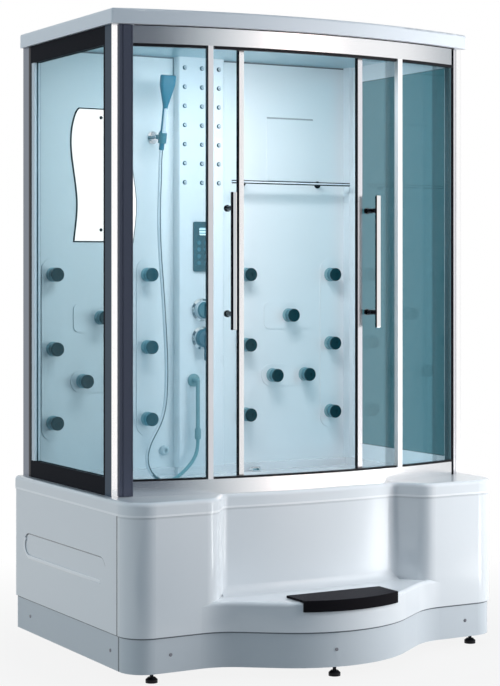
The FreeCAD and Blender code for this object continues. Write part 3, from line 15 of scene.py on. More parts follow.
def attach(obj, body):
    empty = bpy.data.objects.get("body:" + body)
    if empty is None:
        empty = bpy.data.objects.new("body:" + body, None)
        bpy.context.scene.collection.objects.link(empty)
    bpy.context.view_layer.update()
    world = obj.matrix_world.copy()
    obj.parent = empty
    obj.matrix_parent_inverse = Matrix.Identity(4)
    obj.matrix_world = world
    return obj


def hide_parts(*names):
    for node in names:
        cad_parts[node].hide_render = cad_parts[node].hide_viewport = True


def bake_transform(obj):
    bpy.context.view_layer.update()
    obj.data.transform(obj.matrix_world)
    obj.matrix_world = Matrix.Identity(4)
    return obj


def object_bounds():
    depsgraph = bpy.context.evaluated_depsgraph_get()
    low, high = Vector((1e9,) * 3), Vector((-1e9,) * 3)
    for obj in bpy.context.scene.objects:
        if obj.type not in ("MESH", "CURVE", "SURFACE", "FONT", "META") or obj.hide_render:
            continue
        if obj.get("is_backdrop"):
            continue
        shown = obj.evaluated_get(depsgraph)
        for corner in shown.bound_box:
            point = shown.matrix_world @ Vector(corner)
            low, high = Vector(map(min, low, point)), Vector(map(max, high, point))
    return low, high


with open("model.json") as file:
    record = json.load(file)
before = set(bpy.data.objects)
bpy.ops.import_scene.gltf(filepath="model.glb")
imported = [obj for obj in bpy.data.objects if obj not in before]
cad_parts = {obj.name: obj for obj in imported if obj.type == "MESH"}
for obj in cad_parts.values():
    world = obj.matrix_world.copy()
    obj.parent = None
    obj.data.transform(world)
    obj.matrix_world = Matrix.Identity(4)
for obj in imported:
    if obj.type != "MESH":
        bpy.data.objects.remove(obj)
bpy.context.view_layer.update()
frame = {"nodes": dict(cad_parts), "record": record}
nodes = frame["nodes"]
scene = bpy.context.scene
scene.view_settings.view_transform = "Standard"

# %% [markdown]
# ## Camera
# A product picture is taken from far away with a long lens, so that upright edges stay parallel.
# The camera stands level at chest height, a little to the left, and the lens is shifted down to frame
# the cabin. Tilting the camera would do that as well, but then the posts would lean.

# %% Place the camera
camera_data = bpy.data.cameras.new("camera")
camera_data.lens = 94.98
camera_data.sensor_width = 36
camera_data.shift_y = -0.10306
camera = bpy.data.objects.new("camera", camera_data)
camera.location = (-3.266433, -5.625619, 1.336761)
camera.rotation_euler = (math.radians(90), 0, math.radians(-29.508))
scene.collection.objects.link(camera)
scene.camera = camera
print("camera", round(camera_data.lens, 1), "mm lens at", tuple(round(x, 2) for x in camera.location))

# %% [markdown]
# ## Sums on sockets
# A finish is a small graph of nodes. Writing it as sums in Python keeps it readable,
# so one class wraps an output socket: plus, minus and times on it add Math nodes,
# and one method makes every other node from its type, its settings and its inputs.


# %% Sockets that can be summed
class Wire:
    """An output socket of a node tree that can be used in sums."""

    def __init__(self, tree, socket=None):
        self.tree = tree
        self.socket = socket

    def node(self, kind, settings=(), values=(), output=0):
        """Add a node, fill in its settings and inputs, and wrap one of its outputs."""
        made = self.tree.nodes.new(kind)
        for name, value in dict(settings).items():
            if name == "stops":
                while len(made.color_ramp.elements) < len(value):
                    made.color_ramp.elements.new(0.5)
                for element, (place, colour) in zip(made.color_ramp.elements, value):
                    element.position = place
                    element.color = (*colour, 1)
            else:
                setattr(made, name, value)
        for name, value in dict(values).items():
            if isinstance(value, Wire):
                self.tree.links.new(value.socket, made.inputs[name])
            else:
                made.inputs[name].default_value = value
        return Wire(self.tree, made.outputs[output] if made.outputs else None)

    def sum(self, operation, first, second):
        """A Math node on two numbers or wires."""
        return self.node("ShaderNodeMath", {"operation": operation}, {0: first, 1: second})

    def __add__(self, other):
        return self.sum("ADD", self, other)

    def __radd__(self, other):
        return self.sum("ADD", other, self)

    def __sub__(self, other):
        return self.sum("SUBTRACT", self, other)

    def __rsub__(self, other):
        return self.sum("SUBTRACT", other, self)

    def __mul__(self, other):
        return self.sum("MULTIPLY", self, other)

    def __rmul__(self, other):
        return self.sum("MULTIPLY", other, self)

    def __gt__(self, other):
        return self.sum("GREATER_THAN", self, other)

    def __lt__(self, other):
        return self.sum("LESS_THAN", self, other)


# %% Helpers that every finish uses
def new_finish(name, **constants):
    """A material, its Principled shader with constant sockets set, and a wire to build on."""
    material = bpy.data.materials.new(name)
    material.use_nodes = True
    shader = material.node_tree.nodes["Principled BSDF"]
    for socket, value in constants.items():
        shader.inputs[socket.replace("_", " ")].default_value = value
    return material, shader, Wire(material.node_tree)


def place_on(wire, scale=(1, 1, 1)):
    """Object coordinates in metres, stretched."""
    spot = wire.node("ShaderNodeTexCoord", output="Object")
    return wire.node("ShaderNodeMapping", values={"Vector": spot, "Scale": scale})


def axis_of(wire, axis):
    """One object coordinate, in metres."""
    spot = wire.node("ShaderNodeTexCoord", output="Object")
    return wire.node("ShaderNodeSeparateXYZ", values={0: spot}, output=axis)


def noise_on(wire, scale, detail=3.0, stretch=(1, 1, 1)):
    """A noise between 0 and 1 whose grains are about 1 / scale metres."""
    return wire.node("ShaderNodeTexNoise",
                     values={"Vector": place_on(wire, stretch), "Scale": scale, "Detail": detail})


def mix_colours(wire, share, first, second):
    """The first colour where share is 0, the second where it is 1."""
    return wire.node("ShaderNodeMix", {"data_type": "RGBA"},
                     {0: share, 6: (*first, 1) if isinstance(first, tuple) else first,
                      7: (*second, 1) if isinstance(second, tuple) else second}, output=2)


def bump_from(wire, height, strength, distance):
    """A normal that is bent by a height, for a Normal socket."""
    return wire.node("ShaderNodeBump", values={"Height": height, "Strength": strength, "Distance": distance})


def feed(shader, socket, wire):
    """Link a wire to a shader's socket."""
    wire.tree.links.new(wire.socket, shader.inputs[socket])


# %% [markdown]
# ## Shower hose
# A shower hose is a fixed length of limp tube: it hangs from the hand shower, passes below its lowest fitting
# in a loose loop and climbs back into the elbow's nut. A NURBS curve through control points gives that sag
# in one smooth line, and the curve's own bevel gives the tube. Its last few centimetres below the hand shower
# are cut off as a piece of their own.
# A number on each vertex marks the side away from the left window, which the finish paints darker as painted
# shade.

# %% Lay out the hose
hose_route = [
    (-0.036, 0.4865, 0.700), (-0.036, 0.4865, 0.674), (-0.044, 0.4835, 0.645), (-0.062, 0.4785, 0.618),
    (-0.088, 0.4725, 0.594), (-0.119, 0.4655, 0.573), (-0.154, 0.4575, 0.555), (-0.190, 0.4505, 0.550),
    (-0.226, 0.4445, 0.559), (-0.257, 0.4405, 0.583), (-0.275, 0.4385, 0.618), (-0.276, 0.4395, 0.660),
    (-0.259, 0.4425, 0.704), (-0.231, 0.4465, 0.745), (-0.205, 0.4515, 0.790), (-0.190, 0.4565, 0.845),
    (-0.183, 0.4615, 0.915), (-0.180, 0.4665, 1.000), (-0.182, 0.4715, 1.090), (-0.187, 0.4745, 1.200),
    (-0.194, 0.4775, 1.310), (-0.201, 0.4815, 1.420), (-0.203, 0.4855, 1.530), (-0.198, 0.4905, 1.630),
    (-0.192, 0.4945, 1.700), (-0.190, 0.499660, 1.756707), (-0.190, 0.490512, 1.799746),
]


def tube_mesh(name, route, radius):
    """A route's NURBS curve as a mesh: a tube, or with no radius just the line's points."""
    curve = bpy.data.curves.new(name, "CURVE")
    curve.dimensions = "3D"
    curve.bevel_depth = radius
    curve.bevel_resolution = 5
    spline = curve.splines.new("NURBS")
    spline.points.add(len(route) - 1)
    for point, place in zip(spline.points, route):
        point.co = (*place, 1)
    spline.order_u = 3
    spline.use_endpoint_u = True
    spline.resolution_u = 8
    holder = bpy.data.objects.new(name, curve)
    mesh = bpy.data.meshes.new_from_object(holder)
    bpy.data.objects.remove(holder)
    bpy.data.curves.remove(curve)
    return mesh


hose_line = [tuple(vertex.co) for vertex in tube_mesh("hose_line", hose_route, 0.0).vertices]
hose_length = sum((Vector(b) - Vector(a)).length for a, b in zip(hose_line, hose_line[1:]))
print("hose line of", len(hose_line), "points,", round(hose_length, 3), "m")


# %% Cut the hose where the hand shower pulls at it
def add_piece(name, mesh, body):
    """A mesh as a piece of the object that rides on a body."""
    piece = bpy.data.objects.new(name, mesh)
    scene.collection.objects.link(piece)
    for face in mesh.polygons:
        face.use_smooth = True
    if body:
        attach(piece, body)
    return piece


HOSE_RADIUS = 0.007
AWAY = Vector((0.87, -0.49, 0.0))
SHADED_FROM = 0.3
cut_at = Vector((-0.190, 0.4975, 1.742))
cut_across = Vector((0.0, 0.12, -0.99)).normalized()
stretches = {}
for name, side in (("shower_hose_run", "clear_inner"), ("shower_hose_end", "clear_outer")):
    mesh = tube_mesh(name, hose_route, HOSE_RADIUS)
    shape = bmesh.new()
    shape.from_mesh(mesh)
    bmesh.ops.bisect_plane(shape, geom=shape.verts[:] + shape.edges[:] + shape.faces[:],
                           plane_co=cut_at, plane_no=cut_across, **{side: True})
    bmesh.ops.holes_fill(shape, edges=[edge for edge in shape.edges if edge.is_boundary])
    bmesh.ops.recalc_face_normals(shape, faces=shape.faces[:])
    shape.to_mesh(mesh)
    shape.free()
    shade = mesh.attributes.new("shade", "FLOAT", "POINT")
    for vertex in mesh.vertices:
        shade.data[vertex.index].value = float(vertex.normal.dot(AWAY) > SHADED_FROM)
    stretches[name] = add_piece(name, mesh, None)
    print(name, len(mesh.polygons), "faces")

hose_run, hose_end = stretches["shower_hose_run"], stretches["shower_hose_end"]
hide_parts("shower_hose")
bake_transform(hose_run)
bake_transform(hose_end)

# %% [markdown]
# ## Masks
# A moulded cabin is full of thin dark lines: seams, gaskets and the edges of extrusions.
# Where such a line lies on a solid that is right as it is, a mask on the object's own coordinates paints it.
# A mask is 1 on the line and 0 elsewhere, and it works at any pose,
# because the coordinates move with the solid.

# %% Mask helpers
BOW_Y = 1.971465
BOW_RADIUS = 2.267965


def span(value, low, high):
    """1 where a value lies between two numbers, 0 elsewhere."""
    return (value > low) * (value < high)


def either(first, second):
    """The larger of two masks."""
    return first.sum("MAXIMUM", first, second)


def length_of(across, along):
    """The length of a flat vector, from its two parts."""
    return across.sum("POWER", across * across + along * along, 0.5)


def bow_reach(wire):
    """The distance from the bow's upright axis, in metres."""
    return length_of(axis_of(wire, "X"), axis_of(wire, "Y") - BOW_Y)


print("bow of radius", BOW_RADIUS, "m about y =", BOW_Y)

# %% [markdown]
# ## White acrylic
# The tub, its aprons and the wall panels are vacuum-formed acrylic: bright, glossy, and never quite flat.
# A clear coat over a nearly white base gives the gloss. A faint slow noise in the roughness and a very fine
# ripple in the surface keep the highlights from looking like glass. A mask darkens the seams, and the same
# masks paint light and shade: shade in the gap under the aprons, under the lip and along the upper edge of
# each side recess, a highlight along the lip, and light on the column's left side.

# %% Acrylic finishes
SEAM_AND_SHADE_INK = (0.05, 0.07, 0.09)
CEILING_JOINT = 2.1555
RECESS_MIDDLE, RECESS_HALF, RECESS_HEIGHT = 0.1595, 0.303, 0.347


def acrylic(name, colour, rough, coat, seam=None, depth=0.7, ink=SEAM_AND_SHADE_INK):
    """A finish whose mask of seams and painted light and shade takes on the ink, as deep as told."""
    material, shader, wire = new_finish(name, Coat_Weight=coat, Coat_Roughness=0.06, IOR=1.49)
    clouds = noise_on(wire, 3.0)
    tone = mix_colours(wire, clouds, tuple(0.985 * c for c in colour), colour)
    if seam:
        tone = mix_colours(wire, seam(wire) * depth, tone, ink)
    feed(shader, "Base Color", tone)
    feed(shader, "Roughness", clouds * 0.1 + (rough - 0.05))
    feed(shader, "Normal", bump_from(wire, noise_on(wire, 60.0, 1.0), 0.04, 0.002))
    return material


def plinth_seam_and_shade(wire):
    """Painted shade in the gap under the aprons, and the dark gap between a side plinth and the front one."""
    shade_under_apron = axis_of(wire, "Z") > 0.1465
    on_side = either(axis_of(wire, "X") < -0.7, axis_of(wire, "X") > 0.7)
    return either(shade_under_apron, on_side * span(axis_of(wire, "Y"), -0.280, -0.272))


def lip_painted_highlight(wire):
    """A painted highlight along the lower edge of the tub's lip, where the acrylic turns in."""
    return span(axis_of(wire, "Z"), 0.5425, 0.5500)


def lip_shade(wire):
    """The shade that the lip throws on the apron below it."""
    return axis_of(wire, "Z") > 0.5365


def apron_seam_and_recess_shade(wire):
    """The side apron's seam to the front one, and painted shade along the upper edge of its long recess."""
    past_end = wire.sum("ABSOLUTE", axis_of(wire, "Y") - RECESS_MIDDLE, 0) - RECESS_HALF
    above = axis_of(wire, "Z") - RECESS_HEIGHT
    edge = length_of(wire.sum("MAXIMUM", past_end, 0.0), above)
    upper_edge_shade = span(edge, 0.0415, 0.0465) * (above > 0.018)
    front_seam = axis_of(wire, "Y") < -0.2715
    return either(upper_edge_shade, front_seam)


def wall_lines(wire):
    """The joint under the ceiling, and the top of the corner beside the column."""
    corner = span(axis_of(wire, "X"), -0.105, -0.0995) * (axis_of(wire, "Z") > 2.085)
    return either(axis_of(wire, "Z") > CEILING_JOINT, corner)


def relief_lines(wire):
    """The joint under the ceiling, and the upper edge of the raised rectangle, which is fainter."""
    rectangle = span(axis_of(wire, "X"), 0.312, 0.525) * span(axis_of(wire, "Z"), 1.9435, 1.950)
    return either(axis_of(wire, "Z") > CEILING_JOINT, rectangle * 0.66)


def column_side_painted_light(wire):
    """Painted light on the column's left side, standing for the light that the wall beside it throws."""
    return axis_of(wire, "X") < -0.0985


tub_white = (0.78, 0.81, 0.84)
wall_white = (0.80, 0.85, 0.88)
white_acrylic = acrylic("white_acrylic", tub_white, 0.24, 0.45)
# The tub's finish paints a near-white highlight along its lip.
tub_acrylic = acrylic("tub_acrylic", tub_white, 0.24, 0.45, lip_painted_highlight, 0.9, (0.97, 0.98, 1.0))
front_acrylic = acrylic("front_acrylic", tub_white, 0.22, 0.45, lip_shade, 0.16)
plinth_acrylic = acrylic("plinth_acrylic", (0.605, 0.650, 0.690), 0.42, 0.05, plinth_seam_and_shade, 0.85)
# The recess beads are painted paler than the apron, as a painted highlight.
bead_painted_highlight = acrylic("bead_painted_highlight", (0.93, 0.94, 0.96), 0.24, 0.45)
side_acrylic = acrylic("side_acrylic", tub_white, 0.24, 0.35, apron_seam_and_recess_shade, 0.75)
wall_acrylic = acrylic("wall_acrylic", wall_white, 0.3, 0.2, wall_lines, 0.85)
relief_acrylic = acrylic("relief_acrylic", wall_white, 0.3, 0.2, relief_lines, 0.85)
# The column's finish paints its left side nearly white, as painted light.
column_acrylic = acrylic("column_acrylic", (0.80, 0.85, 0.89), 0.28, 0.25, column_side_painted_light, 1.0,
                         (0.98, 0.99, 1.0))
ceiling_acrylic = acrylic("ceiling_acrylic", (0.36, 0.58, 0.66), 0.3, 0.2)
roof_acrylic = acrylic("roof_acrylic", (0.81, 0.85, 0.90), 0.38, 0.1)
print("acrylic finishes", white_acrylic.name, wall_acrylic.name, roof_acrylic.name)

# %% [markdown]
# ## Metals
# Rails and posts are extruded aluminium, drawn through a die and polished, so faint lines run along them.
# A noise that is stretched along the piece gives those lines, and feeds a little of the roughness and bump.
# Fittings are chrome: the same shader with hardly any roughness, and no lines. The fixed stiles are only
# satin, so they are less metallic. Many uprights carry a dark rubber lip, which a mask tints; the same mask
# paints shade in the gap at the left rear post and along the left edge of each handle's bar.
# Where a liner covers the metal, a second mask paints it, and takes away the metallic share as well; on the
# right front post's inner edge that mask paints shade instead.

# %% Metal finishes
RUBBER = (0.012, 0.012, 0.015)
LIP_WIDTH = 0.005


def metal(name, colour, rough, stretch, lines, lip=None, shine=1.0, paint=None, paint_tone=None):
    """A finish with lines along it; the lip mask turns it to rubber black, which on some pieces is painted
    shade, the paint mask to a painted tone.
    """
    material, shader, wire = new_finish(name, Metallic=shine)
    grain = noise_on(wire, 6.0, 2.0, stretch)
    tone = mix_colours(wire, grain, tuple(0.93 * c for c in colour), colour)
    if lip:
        tone = mix_colours(wire, lip(wire), tone, RUBBER)
    if paint:
        mask = paint(wire)
        tone = mix_colours(wire, mask, tone, paint_tone)
        feed(shader, "Metallic", shine - mask * shine)
    feed(shader, "Base Color", tone)
    feed(shader, "Roughness", grain * 0.08 + (rough - 0.04))
    feed(shader, "Normal", bump_from(wire, grain, lines, 0.0005))
    return material


def lip_at(*edges):
    """A mask of rubber lips along upright edges that start at these x."""
    def mask(wire):
        x = axis_of(wire, "X")
        found = span(x, edges[0], edges[0] + LIP_WIDTH)
        for edge in edges[1:]:
            found = either(found, span(x, edge, edge + LIP_WIDTH))
        return found
    return mask


def rear_gap_painted_shade(wire):
    """Painted shade in the dark gap along the front edge of the left rear post."""
    return (axis_of(wire, "X") < 0.0) * (axis_of(wire, "Y") < 0.5338)


def rear_liner(wire):
    """The pale liner on the right rear post, where it faces the cabin."""
    x = axis_of(wire, "X")
    return (x > 0.0) * either(x < 0.6705, axis_of(wire, "Y") < 0.5178)


def frame_liner(wire):
    """The pale inner face of the right frame."""
    return axis_of(wire, "X") < 0.6865


def post_inside_painted_shade(wire):
    """Painted shade: the right front post's inner edge, which stands behind deep-coloured glass, painted dark
    teal.
    """
    return axis_of(wire, "X") < 0.6652


UPRIGHT = (120, 120, 1)
LINER = (0.78, 0.85, 0.89)
POST_TONE = (0.78, 0.79, 0.83)
SHADE_BEHIND_GLASS = (0.030, 0.100, 0.125)
rail_metal = metal("polished_rail", (0.92, 0.93, 0.95), 0.2, (1, 40, 120), 0.08)
satin_metal = metal("satin_post", (0.20, 0.225, 0.27), 0.4, UPRIGHT, 0.08, rear_gap_painted_shade,
                    paint=rear_liner, paint_tone=LINER)
right_frame_metal = metal("right_frame", POST_TONE, 0.22, UPRIGHT, 0.08, paint=frame_liner, paint_tone=LINER)
right_post_metal = metal("right_post", (0.69, 0.70, 0.74), 0.22, UPRIGHT, 0.08,
                         lip_at(0.6650, 0.6695, 0.6725), paint=post_inside_painted_shade, paint_tone=SHADE_BEHIND_GLASS)
BRIGHT_TONE = (0.97, 0.975, 0.98)
trim_metal = metal("bright_trim", BRIGHT_TONE, 0.15, UPRIGHT, 0.04)
stile_metal = metal("fixed_stile", (0.97, 0.965, 0.975), 0.55, UPRIGHT, 0.08, lip_at(-0.397), 0.6)
left_stile_metal = metal("left_stile", BRIGHT_TONE, 0.24, UPRIGHT, 0.08, lip_at(-0.2745))
right_stile_metal = metal("right_stile", POST_TONE, 0.22, UPRIGHT, 0.08, lip_at(0.2005))
CHROME_TONE = (0.88, 0.89, 0.90)
chrome = metal("bright_chrome", CHROME_TONE, 0.08, (1, 1, 1), 0.0)
screw_metal = metal("screw_steel", (0.20, 0.21, 0.24), 0.3, (30, 30, 30), 0.1)
brass = metal("brass_body", (0.66, 0.47, 0.22), 0.32, (10, 10, 10), 0.2)


def knobs_and_shaded_edge(edge):
    """The black knobs behind a handle's bar, and painted shade along the left edge of the bar."""
    knob_end = BOW_RADIUS + 0.0165
    return lambda wire: either(bow_reach(wire) < knob_end, axis_of(wire, "X") < edge)


left_handle_metal = metal("left_handle", CHROME_TONE, 0.1, UPRIGHT, 0.02, knobs_and_shaded_edge(-0.3172))
right_handle_metal = metal("right_handle", CHROME_TONE, 0.1, UPRIGHT, 0.02, knobs_and_shaded_edge(0.2556))
print("metal finishes", rail_metal.name, satin_metal.name, chrome.name, left_handle_metal.name)

# %% [markdown]
# ## Dark and coloured plastics
# The left frame is painted nearly black, as a painted dark reflection of its polished metal, and its rear
# stile carries a painted bright reflection; the tread is ribbed black plastic, the jets are teal.
# All of them are one shader with a small grain; what differs is the colour and the shine.
# Black pieces keep a low specular level, because a full one turns them grey under a white studio.

# %% Plastic finishes
PALE = (0.80, 0.85, 0.90)


def plastic(name, colour, rough, grain, strength, coat=0.0, specular=0.5, pale=None):
    """A finely grained finish; the pale mask turns it nearly white."""
    material, shader, wire = new_finish(name, Coat_Weight=coat, Coat_Roughness=0.1,
                                        Specular_IOR_Level=specular)
    speckle = noise_on(wire, grain)
    tone = mix_colours(wire, speckle, tuple(0.85 * c for c in colour), colour)
    if pale:
        tone = mix_colours(wire, pale(wire), tone, PALE)
    feed(shader, "Base Color", tone)
    feed(shader, "Roughness", speckle * 0.12 + (rough - 0.06))
    feed(shader, "Normal", bump_from(wire, speckle, strength, 0.0006))
    return material


def stile_painted_reflection(wire):
    """A painted reflection: the bright inner web of the left frame's rear stile."""
    return span(axis_of(wire, "Y"), 0.480, 0.506) * span(axis_of(wire, "Z"), 0.652, 2.098)


def bar_painted_highlight(wire):
    """A painted highlight: the bright line along the middle of the towel bar."""
    return span(axis_of(wire, "Z"), 1.6845, 1.6895)


def grip_side(wire):
    """The clear side of the hand shower's grip, below its head. The grip leans back from its foot."""
    foot_x, foot_y, foot_z = -0.19, 0.4905, 1.7997
    lean = axis_of(wire, "Y") - foot_y + (axis_of(wire, "Z") - foot_z) * 0.2126
    across = (axis_of(wire, "X") - foot_x) * AWAY.x + lean * AWAY.y
    return span(axis_of(wire, "Z"), 1.825, 1.952) * (across > -0.0025) * 0.7


def silver_side(front):
    """A dial's plated side, behind a depth."""
    return lambda wire: (axis_of(wire, "Y") > front) * 0.8


def nozzle_face_painted_reflection(wire):
    """The flat front of each small nozzle, painted pale as a painted reflection on the chrome."""
    return axis_of(wire, "Y") < 0.5172


anodised = plastic("dark_anodised", (0.020, 0.050, 0.088), 0.35, 300.0, 0.05, specular=0.146)
cover_anodised = plastic("cover_anodised", (0.105, 0.112, 0.155), 0.3, 300.0, 0.05, specular=0.25)
# The chrome towel bar is painted nearly black, with a painted highlight along its middle.
towel_painted_reflection = plastic("towel_painted_reflection", (0.010, 0.012, 0.015), 0.2, 300.0, 0.02, specular=0.2, pale=bar_painted_highlight)
# The chrome nozzles are painted dark with pale fronts, as painted reflection.
nozzle_painted_reflection = plastic("nozzle_painted_reflection", (0.035, 0.085, 0.110), 0.2, 300.0, 0.02, pale=nozzle_face_painted_reflection)
elbow_teal = plastic("elbow_teal", (0.22, 0.38, 0.41), 0.25, 200.0, 0.03, 0.3)
# The left frame's near-black tone and its pale strip are painted reflection.
left_frame_painted_reflection = plastic("left_frame_painted_reflection", (0.017, 0.018, 0.023), 0.4, 300.0, 0.05,
                        specular=0.006, pale=stile_painted_reflection)
black_plastic = plastic("black_plastic", RUBBER, 0.4, 500.0, 0.2, specular=0.15)
powder_coat = plastic("grey_powder_coat", (0.36, 0.38, 0.40), 0.55, 700.0, 0.3)
nylon = plastic("nylon", (0.75, 0.75, 0.72), 0.45, 400.0, 0.1)
pipe_white = plastic("white_pipe", (0.78, 0.79, 0.80), 0.4, 200.0, 0.1)
pale_plastic = plastic("pale_plastic", (0.58, 0.66, 0.70), 0.4, 200.0, 0.05)
shower_blue = plastic("shower_blue", (0.032, 0.166, 0.252), 0.25, 200.0, 0.03, 0.3, pale=grip_side)
TEAL = (0.06, 0.19, 0.24)
dial_teal = plastic("dial_teal", TEAL, 0.22, 200.0, 0.03, 0.4)
diverter_teal = plastic("diverter_teal", TEAL, 0.22, 200.0, 0.03, 0.4, pale=silver_side(0.4955))
mixer_teal = plastic("mixer_teal", (0.05, 0.15, 0.21), 0.22, 200.0, 0.03, 0.4, pale=silver_side(0.5070))
socket_teal = plastic("socket_teal", (0.30, 0.52, 0.58), 0.25, 200.0, 0.03, 0.3)
print("plastic finishes", anodised.name, black_plastic.name, shower_blue.name, socket_teal.name)

# %% Hose finish: painted shade on one side of a silver tube, and a teal sleeve at the lower end
hose_silver, hose_shader, hose = new_finish("hose_silver", Coat_Weight=0.2, Coat_Roughness=0.1)
weave = noise_on(hose, 300.0)
painted_shade_side = hose.node("ShaderNodeAttribute", {"attribute_name": "shade"}, output="Fac")
sleeve = (axis_of(hose, "X") > -0.165) * (axis_of(hose, "Z") < 0.72)
hose_tone = mix_colours(hose, painted_shade_side, PALE, (0.045, 0.070, 0.080))
feed(hose_shader, "Base Color", mix_colours(hose, sleeve, hose_tone, (0.16, 0.34, 0.37)))
feed(hose_shader, "Roughness", weave * 0.12 + 0.24)
feed(hose_shader, "Normal", bump_from(hose, weave, 0.05, 0.0006))
print("hose finish", hose_silver.name)

# %% Ribbed tread
black_pad, pad_shader, pad = new_finish("black_pad", Specular_IOR_Level=0.015)
ribs = pad.node("ShaderNodeTexWave", {"bands_direction": "Y"},
                {"Vector": place_on(pad), "Scale": 55.0, "Distortion": 0.0}, "Fac")
ribs_on_top = ribs * (axis_of(pad, "Z") > 0.2572)
grit = noise_on(pad, 700.0)
pad_tone = mix_colours(pad, ribs_on_top, (0.011, 0.010, 0.012), (0.012, 0.010, 0.016))
feed(pad_shader, "Base Color", pad_tone)
feed(pad_shader, "Roughness", grit * 0.15 + 0.36)
feed(pad_shader, "Normal", bump_from(pad, ribs_on_top * 0.8 + grit * 0.2, 0.3, 0.001))
print("tread finish", black_pad.name)

# %% Jet finish: a dark face on a lighter teal side
jet_teal, jet_shader, jet = new_finish("teal_jet", Coat_Weight=0.05, Coat_Roughness=0.08,
                                       Specular_IOR_Level=0.2)
face_share = axis_of(jet, "Y") < 0.5165
sheen = noise_on(jet, 90.0)
jet_tone = mix_colours(jet, sheen, (0.075, 0.215, 0.26), (0.085, 0.24, 0.29))
feed(jet_shader, "Base Color", mix_colours(jet, face_share, jet_tone, (0.006, 0.040, 0.052)))
feed(jet_shader, "Roughness", sheen * 0.1 + 0.2)
print("jet finish", jet_teal.name)

# %% [markdown]
# ## Glass
# Six millimetre safety glass has a green-blue cast that deepens towards the edges and at a glancing angle.
# A Glass shader would need many bounces to stay clear, so a tinted Transparent shader lets the view through,
# and a Principled shader lies over it as a veil: little when seen straight on, more at a glancing angle.
# A metallic veil mirrors the cabin, as the right door's pane and the right side pane do. Where a grey film
# seals the edge of a pane, a mask mixes in a darker Transparent shader.

# %% Glass finishes
FILM_CLEAR = 0.78


def glass(name, tint, cast, veil, edge, shine=0.0, rough=0.04, seal=None):
    """A pane's finish; between the two x of seal, a grey film darkens the pane."""
    material, shader, wire = new_finish(name, Base_Color=(*cast, 1), Roughness=rough, Metallic=shine)
    clear = wire.node("ShaderNodeBsdfTransparent", values={"Color": (*tint, 1)})
    if seal:
        film_tint = (*(FILM_CLEAR * c for c in tint), 1)
        film = wire.node("ShaderNodeBsdfTransparent", values={"Color": film_tint})
        sealed = span(axis_of(wire, "X"), *seal)
        clear = wire.node("ShaderNodeMixShader", values={0: sealed, 1: clear, 2: film})
    glance = wire.node("ShaderNodeLayerWeight", values={"Blend": 0.25}, output="Fresnel")
    haze = noise_on(wire, 2.0) * 0.01
    surface = Wire(wire.tree, shader.outputs[0])
    both = wire.node("ShaderNodeMixShader", values={0: glance * edge + haze + veil, 1: clear, 2: surface})
    out = material.node_tree.nodes["Material Output"]
    wire.tree.links.new(both.socket, out.inputs["Surface"])
    return material


TEAL_CAST = (0.42, 0.62, 0.68)
clear_glass = glass("clear_glass", (0.945, 0.975, 0.985), TEAL_CAST, 0.008, 0.12)
left_glass = glass("left_glass", (0.76, 0.84, 0.86), (0.36, 0.56, 0.62), 0.0, 0.1)
left_pane = glass("left_pane", (0.97, 0.985, 0.99), (0.20, 0.70, 0.90), 0.09, 0.12)
right_pane = glass("right_pane", (0.93, 0.965, 0.975), TEAL_CAST, 0.0, 0.03, seal=(0.556, 0.70))
right_door_pane = glass("right_door_pane", (0.94, 0.97, 0.98), (0.95, 0.96, 0.97), 0.045, 0.0, 1.0,
                        seal=(0.337, 0.383))
# The right side pane is tinted teal like the left one but far deeper; the extra depth is painted shade for
# the dark seen through it.
side_glass = glass("side_glass", (0.234, 0.4385, 0.488), (0.80, 0.93, 0.97), 0.045, 0.03, 1.0, 0.01)
print("glass finishes", clear_glass.name, left_glass.name, side_glass.name)

# %% Mirror and control panel
MIRROR_BACK, MIRROR_FRONT, UNDER_FRONT = 0.5625, 0.5575, 0.5577
mirror_glass, mirror_shader, mirror = new_finish("mirror_glass", Metallic=1.0)
# The ground edge is painted dark, as a painted reflection.
mirror_edge_painted_reflection = axis_of(mirror, "Y") > UNDER_FRONT
smear = noise_on(mirror, 8.0)
mirror_tone = mix_colours(mirror, mirror_edge_painted_reflection, (0.97, 0.98, 0.985), (0.03, 0.05, 0.06))
feed(mirror_shader, "Base Color", mirror_tone)
feed(mirror_shader, "Roughness", smear * 0.03 + 0.01)
panel_face = plastic("panel_face", (0.02, 0.075, 0.095), 0.18, 250.0, 0.02, 0.4)
display_glow, display_shader, display = new_finish("display", Roughness=0.2, Emission_Strength=0.5)
waves = display.node("ShaderNodeTexWave", {"bands_direction": "Z"},
                     {"Vector": place_on(display), "Scale": 30.0}, "Fac")
bars = span(waves, 0.35, 1.1)
display_tone = mix_colours(display, bars, (0.10, 0.26, 0.30), (0.62, 0.80, 0.86))
feed(display_shader, "Base Color", display_tone)
feed(display_shader, "Emission Color", display_tone)
print("mirror and panel finishes", mirror_glass.name, panel_face.name, display_glow.name)

# %% [markdown]
# ## Dress the solids
# Each solid names a slot in the cabin's record. The slot picks the finish, and a few pieces take their own.

